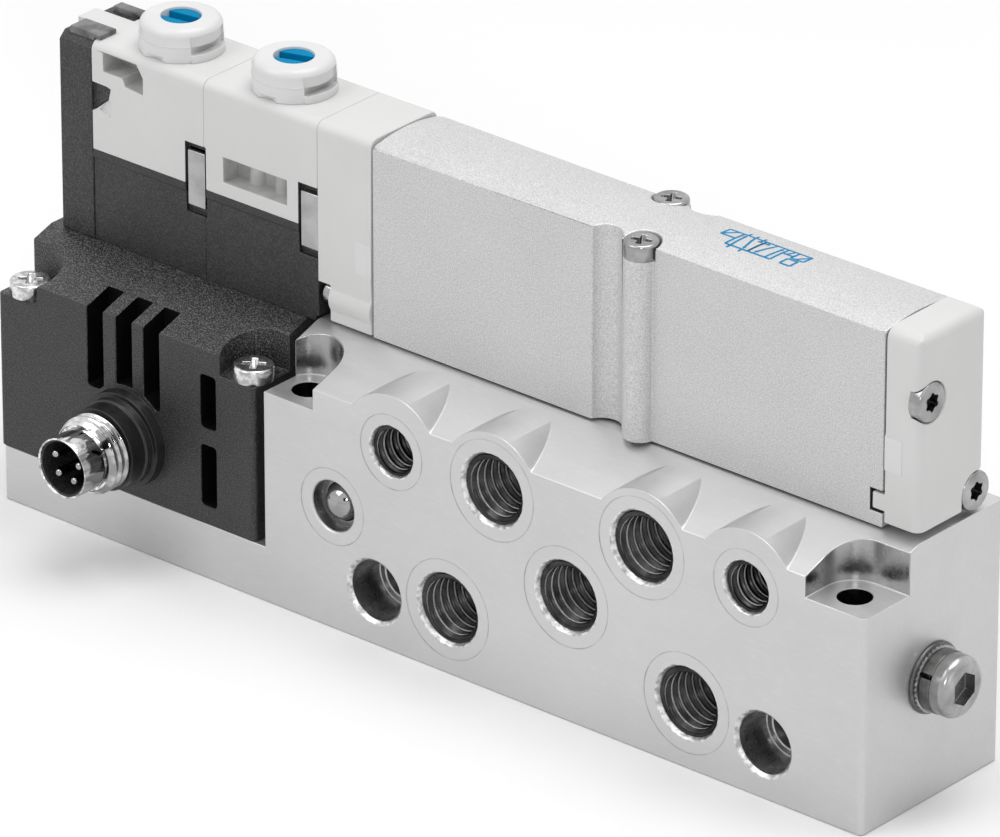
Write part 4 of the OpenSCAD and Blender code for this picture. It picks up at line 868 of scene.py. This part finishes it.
def makeToolRing(index, dx, z, radius, values):
    inner, outer = radius - values["half"], radius + values["half"]
    front, back = frontY - values["proud"], frontY + values["sunk"]
    ring = [(inner, front), (outer, front), (outer, back), (inner, back)]
    mesh = lathe("toolRing", ring, (portsX + dx, 0, z))
    addPiece("toolRing%d" % index, mesh, "valve", "base_metal", finish="toolMark")


for ringIndex, spotFace in enumerate(spotFaces):
    makeToolRing(ringIndex, *spotFace, toolRing)
print("tool rings made:", len(spotFaces))


# Round plug: a bright sleeve with its thread, both streaked with painted reflections, and four round contacts deep
# in a black insert.
# The sleeve runs from its bore round the front rim to the neck: radius, and distance behind the front.
sleeveValues = {
    "profile": [(2.9, 7), (2.9, 0.12), (2.95, 0.03), (3.0, 0), (3.07, 0), (3.11, 0.03), (3.13, 0.1), (3.13, 2.8),
                (2.99, 2.84), (2.99, 3.1), (3.4, 3.12), (3.52, 3.25), (3.52, 5.45), (3.4, 5.5), (3.4, 7)],
}
plugThread = {
    "name": "plugThread", "start": connector["front"] + 3.05, "length": 2.42, "pitch": 0.9, "around": 96,
    "root": 3.54, "crest": 3.99, "back": 3.45, "taper": 1.1, "sharp": 60,
    "profile": [(0, 0), (0.14, 0), (0.38, 0.9), (0.46, 1), (0.54, 1), (0.62, 0.9), (0.86, 0), (1, 0)],
}
contacts = {"radius": 0.45, "tip": 0.47, "length": 9, "steps": 32, "arcStep": 15,
            "places": [(-1.5, 0.87), (1.6, 0.5), (-1.09, -1.05), (0.94, -1.32)]}


def makeSleeve(values, place):
    profile = [(radius, place["front"] + behind) for radius, behind in values["profile"]]
    mesh = lathe("sleeve", profile, (place["x"], 0, place["z"]))
    # The sleeve's streaks are painted reflections
    sleeve = addPiece("sleeve", mesh, "valve", "nickel", finish="paintedReflectionChrome")
    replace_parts(sleeve, "connector_sleeve")
    thread = threadMesh(plugThread, (place["x"], place["z"]))
    # The thread's bands are painted reflections
    addPiece("plugThread", thread, "valve", "nickel", angle=plugThread["sharp"], finish="paintedReflectionThreadChrome")


def makeContacts(values, place):
    start = place["front"] + values["tip"]
    stop = start + values["length"]
    radius = values["radius"]
    turns = [math.radians(angle) for angle in range(0, 91, values["arcStep"])]
    profile = [(radius * math.sin(turn), start + radius * (1 - math.cos(turn))) for turn in turns]
    profile += [(radius, stop), (0, stop)]
    pins = bmesh.new()
    for dx, dz in values["places"]:
        one = lathe("contact", profile, (place["x"] + dx, 0, place["z"] + dz), steps=values["steps"])
        pins.from_mesh(one)
        bpy.data.meshes.remove(one)
    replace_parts(addPiece("contacts", meshFrom(pins, "contacts"), "valve", "nickel"), "connector_pins")


makeSleeve(sleeveValues, connector)
makeContacts(contacts, connector)
print("connector made")


# Springs: merged copies, each listed with the height of its foot and the piece it pushes back
springValues = {
    "armature_spring_outer": {"foot": 29.35, "pushes": "armature_outer"},
    "armature_spring_inner": {"foot": 29.35, "pushes": "armature_inner"},
    "override_spring_outer": {"foot": 45.4, "pushes": "override_outer"},
    "override_spring_inner": {"foot": 45.4, "pushes": "override_inner"},
}
coilAngle = 40


def makeSpring(name):
    mesh = meshFrom(mergedCopy(name), name + "Coils")
    mesh.materials.append(materials["steel"])
    smoothFaces(mesh, coilAngle)
    spring = bpy.data.objects.new(name + "Coils", mesh)
    scene.collection.objects.link(spring)
    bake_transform(spring)
    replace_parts(spring, name)


for springName, springSetting in springValues.items():
    makeSpring(springName)
print("springs made:", len(springValues))


# Washers of the earth screw: a dark contact washer and a bright toothed ring in front of it
washerPlace = (54.5, 0, 12.75)
contactRing = {"profile": [(1.6, 0), (1.6, 0.42), (3.4, 0.42), (3.55, 0.34), (3.6, 0.2), (3.55, 0.06), (3.45, 0)]}
toothRing = {
    "profile": [(1.6, 0.42), (1.6, 0.8), (3.2, 0.8), (3.38, 0.74), (3.38, 0.48), (3.3, 0.42)],
    "teeth": 36, "bite": 0.12, "toothFrom": 3.1, "sharp": 20,
}


def makeWashers():
    dark = addPiece("contactRing", lathe("contactRing", contactRing["profile"], washerPlace, axis="X"),
                    nodeBody["contact_washer"], "dark_steel")
    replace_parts(dark, "contact_washer")
    teeth = toothRing["teeth"]
    mesh = lathe("toothRing", toothRing["profile"], (0, 0, 0), axis="X", steps=2 * teeth)
    work = bmesh.new()
    work.from_mesh(mesh)
    for vert in work.verts:
        reach = math.hypot(vert.co.y, vert.co.z) / mm
        count = round(math.atan2(vert.co.z, vert.co.y) / math.pi * teeth)
        if reach > toothRing["toothFrom"] and count % 2:
            vert.co.y *= 1 - toothRing["bite"] / reach
            vert.co.z *= 1 - toothRing["bite"] / reach
    bmesh.ops.translate(work, verts=work.verts, vec=[value * mm for value in washerPlace])
    work.to_mesh(mesh)
    work.free()
    addPiece("toothRing", mesh, nodeBody["contact_washer"], "steel", angle=toothRing["sharp"])


makeWashers()
print("washers made")


# Printed valve symbol on the crowned top: boxes and lines between points on the top, in millimetres
symbol = {
    "width": 0.24, "proud": 0.015, "sunk": 0.05, "crownTop": 48.4, "crownRadius": 20.31, "middle": 2.55,
    "boxes": [(27.37, 2.02, 30.06, 4.93), (30.06, 2.02, 32.75, 4.93), (25.65, 3.5, 27.37, 4.93),
              (32.75, 3.9, 34.05, 4.93), (34.05, 3.52, 35.53, 4.93), (33.95, 2.0, 35.15, 3.2)],
    "lines": [(25.65, 3.5, 26.8, 4.93), (34.6, 3.52, 35.53, 4.93), (33.2, 3.9, 33.6, 4.93),
              (28.0, 1.45, 28.0, 2.02), (29.4, 1.45, 29.4, 2.02),
              (27.8, 4.93, 27.8, 5.5), (28.7, 4.93, 28.7, 5.5), (29.6, 4.93, 29.6, 5.5),
              (29.6, 4.93, 29.6, 4.45), (29.35, 4.45, 29.85, 4.45),
              (30.5, 4.93, 30.5, 4.45), (30.25, 4.45, 30.75, 4.45)],
    "arrows": [(28.0, 2.1, 27.8, 4.8), (28.7, 4.8, 29.4, 2.15), (31.4, 4.8, 30.7, 2.15), (32.1, 2.1, 32.3, 4.8)],
    "head": 0.42, "point": 0.03, "bends": 6,
}


def makeSymbol(values):
    work = bmesh.new()

    # A flat strip from one point to another, whose width may change on the way
    def stripe(x0, y0, x1, y1, start, stop):
        span = math.hypot(x1 - x0, y1 - y0)
        made = bmesh.ops.create_grid(work, x_segments=values["bends"], y_segments=1, size=0.5)["verts"]
        for vert in made:
            wide = start + (stop - start) * (vert.co.x + 0.5)
            vert.co = (vert.co.x * span, vert.co.y * wide, 0)
        turn = Matrix.Rotation(math.atan2(y1 - y0, x1 - x0), 3, "Z")
        bmesh.ops.rotate(work, verts=made, cent=(0, 0, 0), matrix=turn)
        bmesh.ops.translate(work, verts=made, vec=((x0 + x1) / 2, (y0 + y1) / 2, 0))

    line = values["width"]
    for x0, y0, x1, y1 in values["boxes"]:
        for side in ((x0, y0, x1, y0), (x1, y0, x1, y1), (x1, y1, x0, y1), (x0, y1, x0, y0)):
            stripe(*side, line, line)
    for side in values["lines"]:
        stripe(*side, line, line)
    for x0, y0, x1, y1 in values["arrows"]:
        share = values["head"] / math.hypot(x1 - x0, y1 - y0)
        neck = (x1 + (x0 - x1) * share, y1 + (y0 - y1) * share)
        stripe(x0, y0, *neck, line, line)
        stripe(*neck, x1, y1, values["head"], values["point"])
    # The strips lie on the crown and get their thickness
    for vert in work.verts:
        drop = values["crownRadius"] - math.sqrt(values["crownRadius"] ** 2 - (vert.co.y - values["middle"]) ** 2)
        vert.co.z = values["crownTop"] - drop + values["proud"]
    bmesh.ops.recalc_face_normals(work, faces=work.faces)
    bmesh.ops.solidify(work, geom=work.faces[:], thickness=values["sunk"])
    bmesh.ops.recalc_face_normals(work, faces=work.faces)
    bmesh.ops.scale(work, verts=work.verts, vec=(mm, mm, mm))
    addPiece("valveSymbol", meshFrom(work, "valveSymbol"), nodeBody["valve_body"], "blue_plastic", smooth=False,
             finish="printBlue")


makeSymbol(symbol)
print("symbol made")
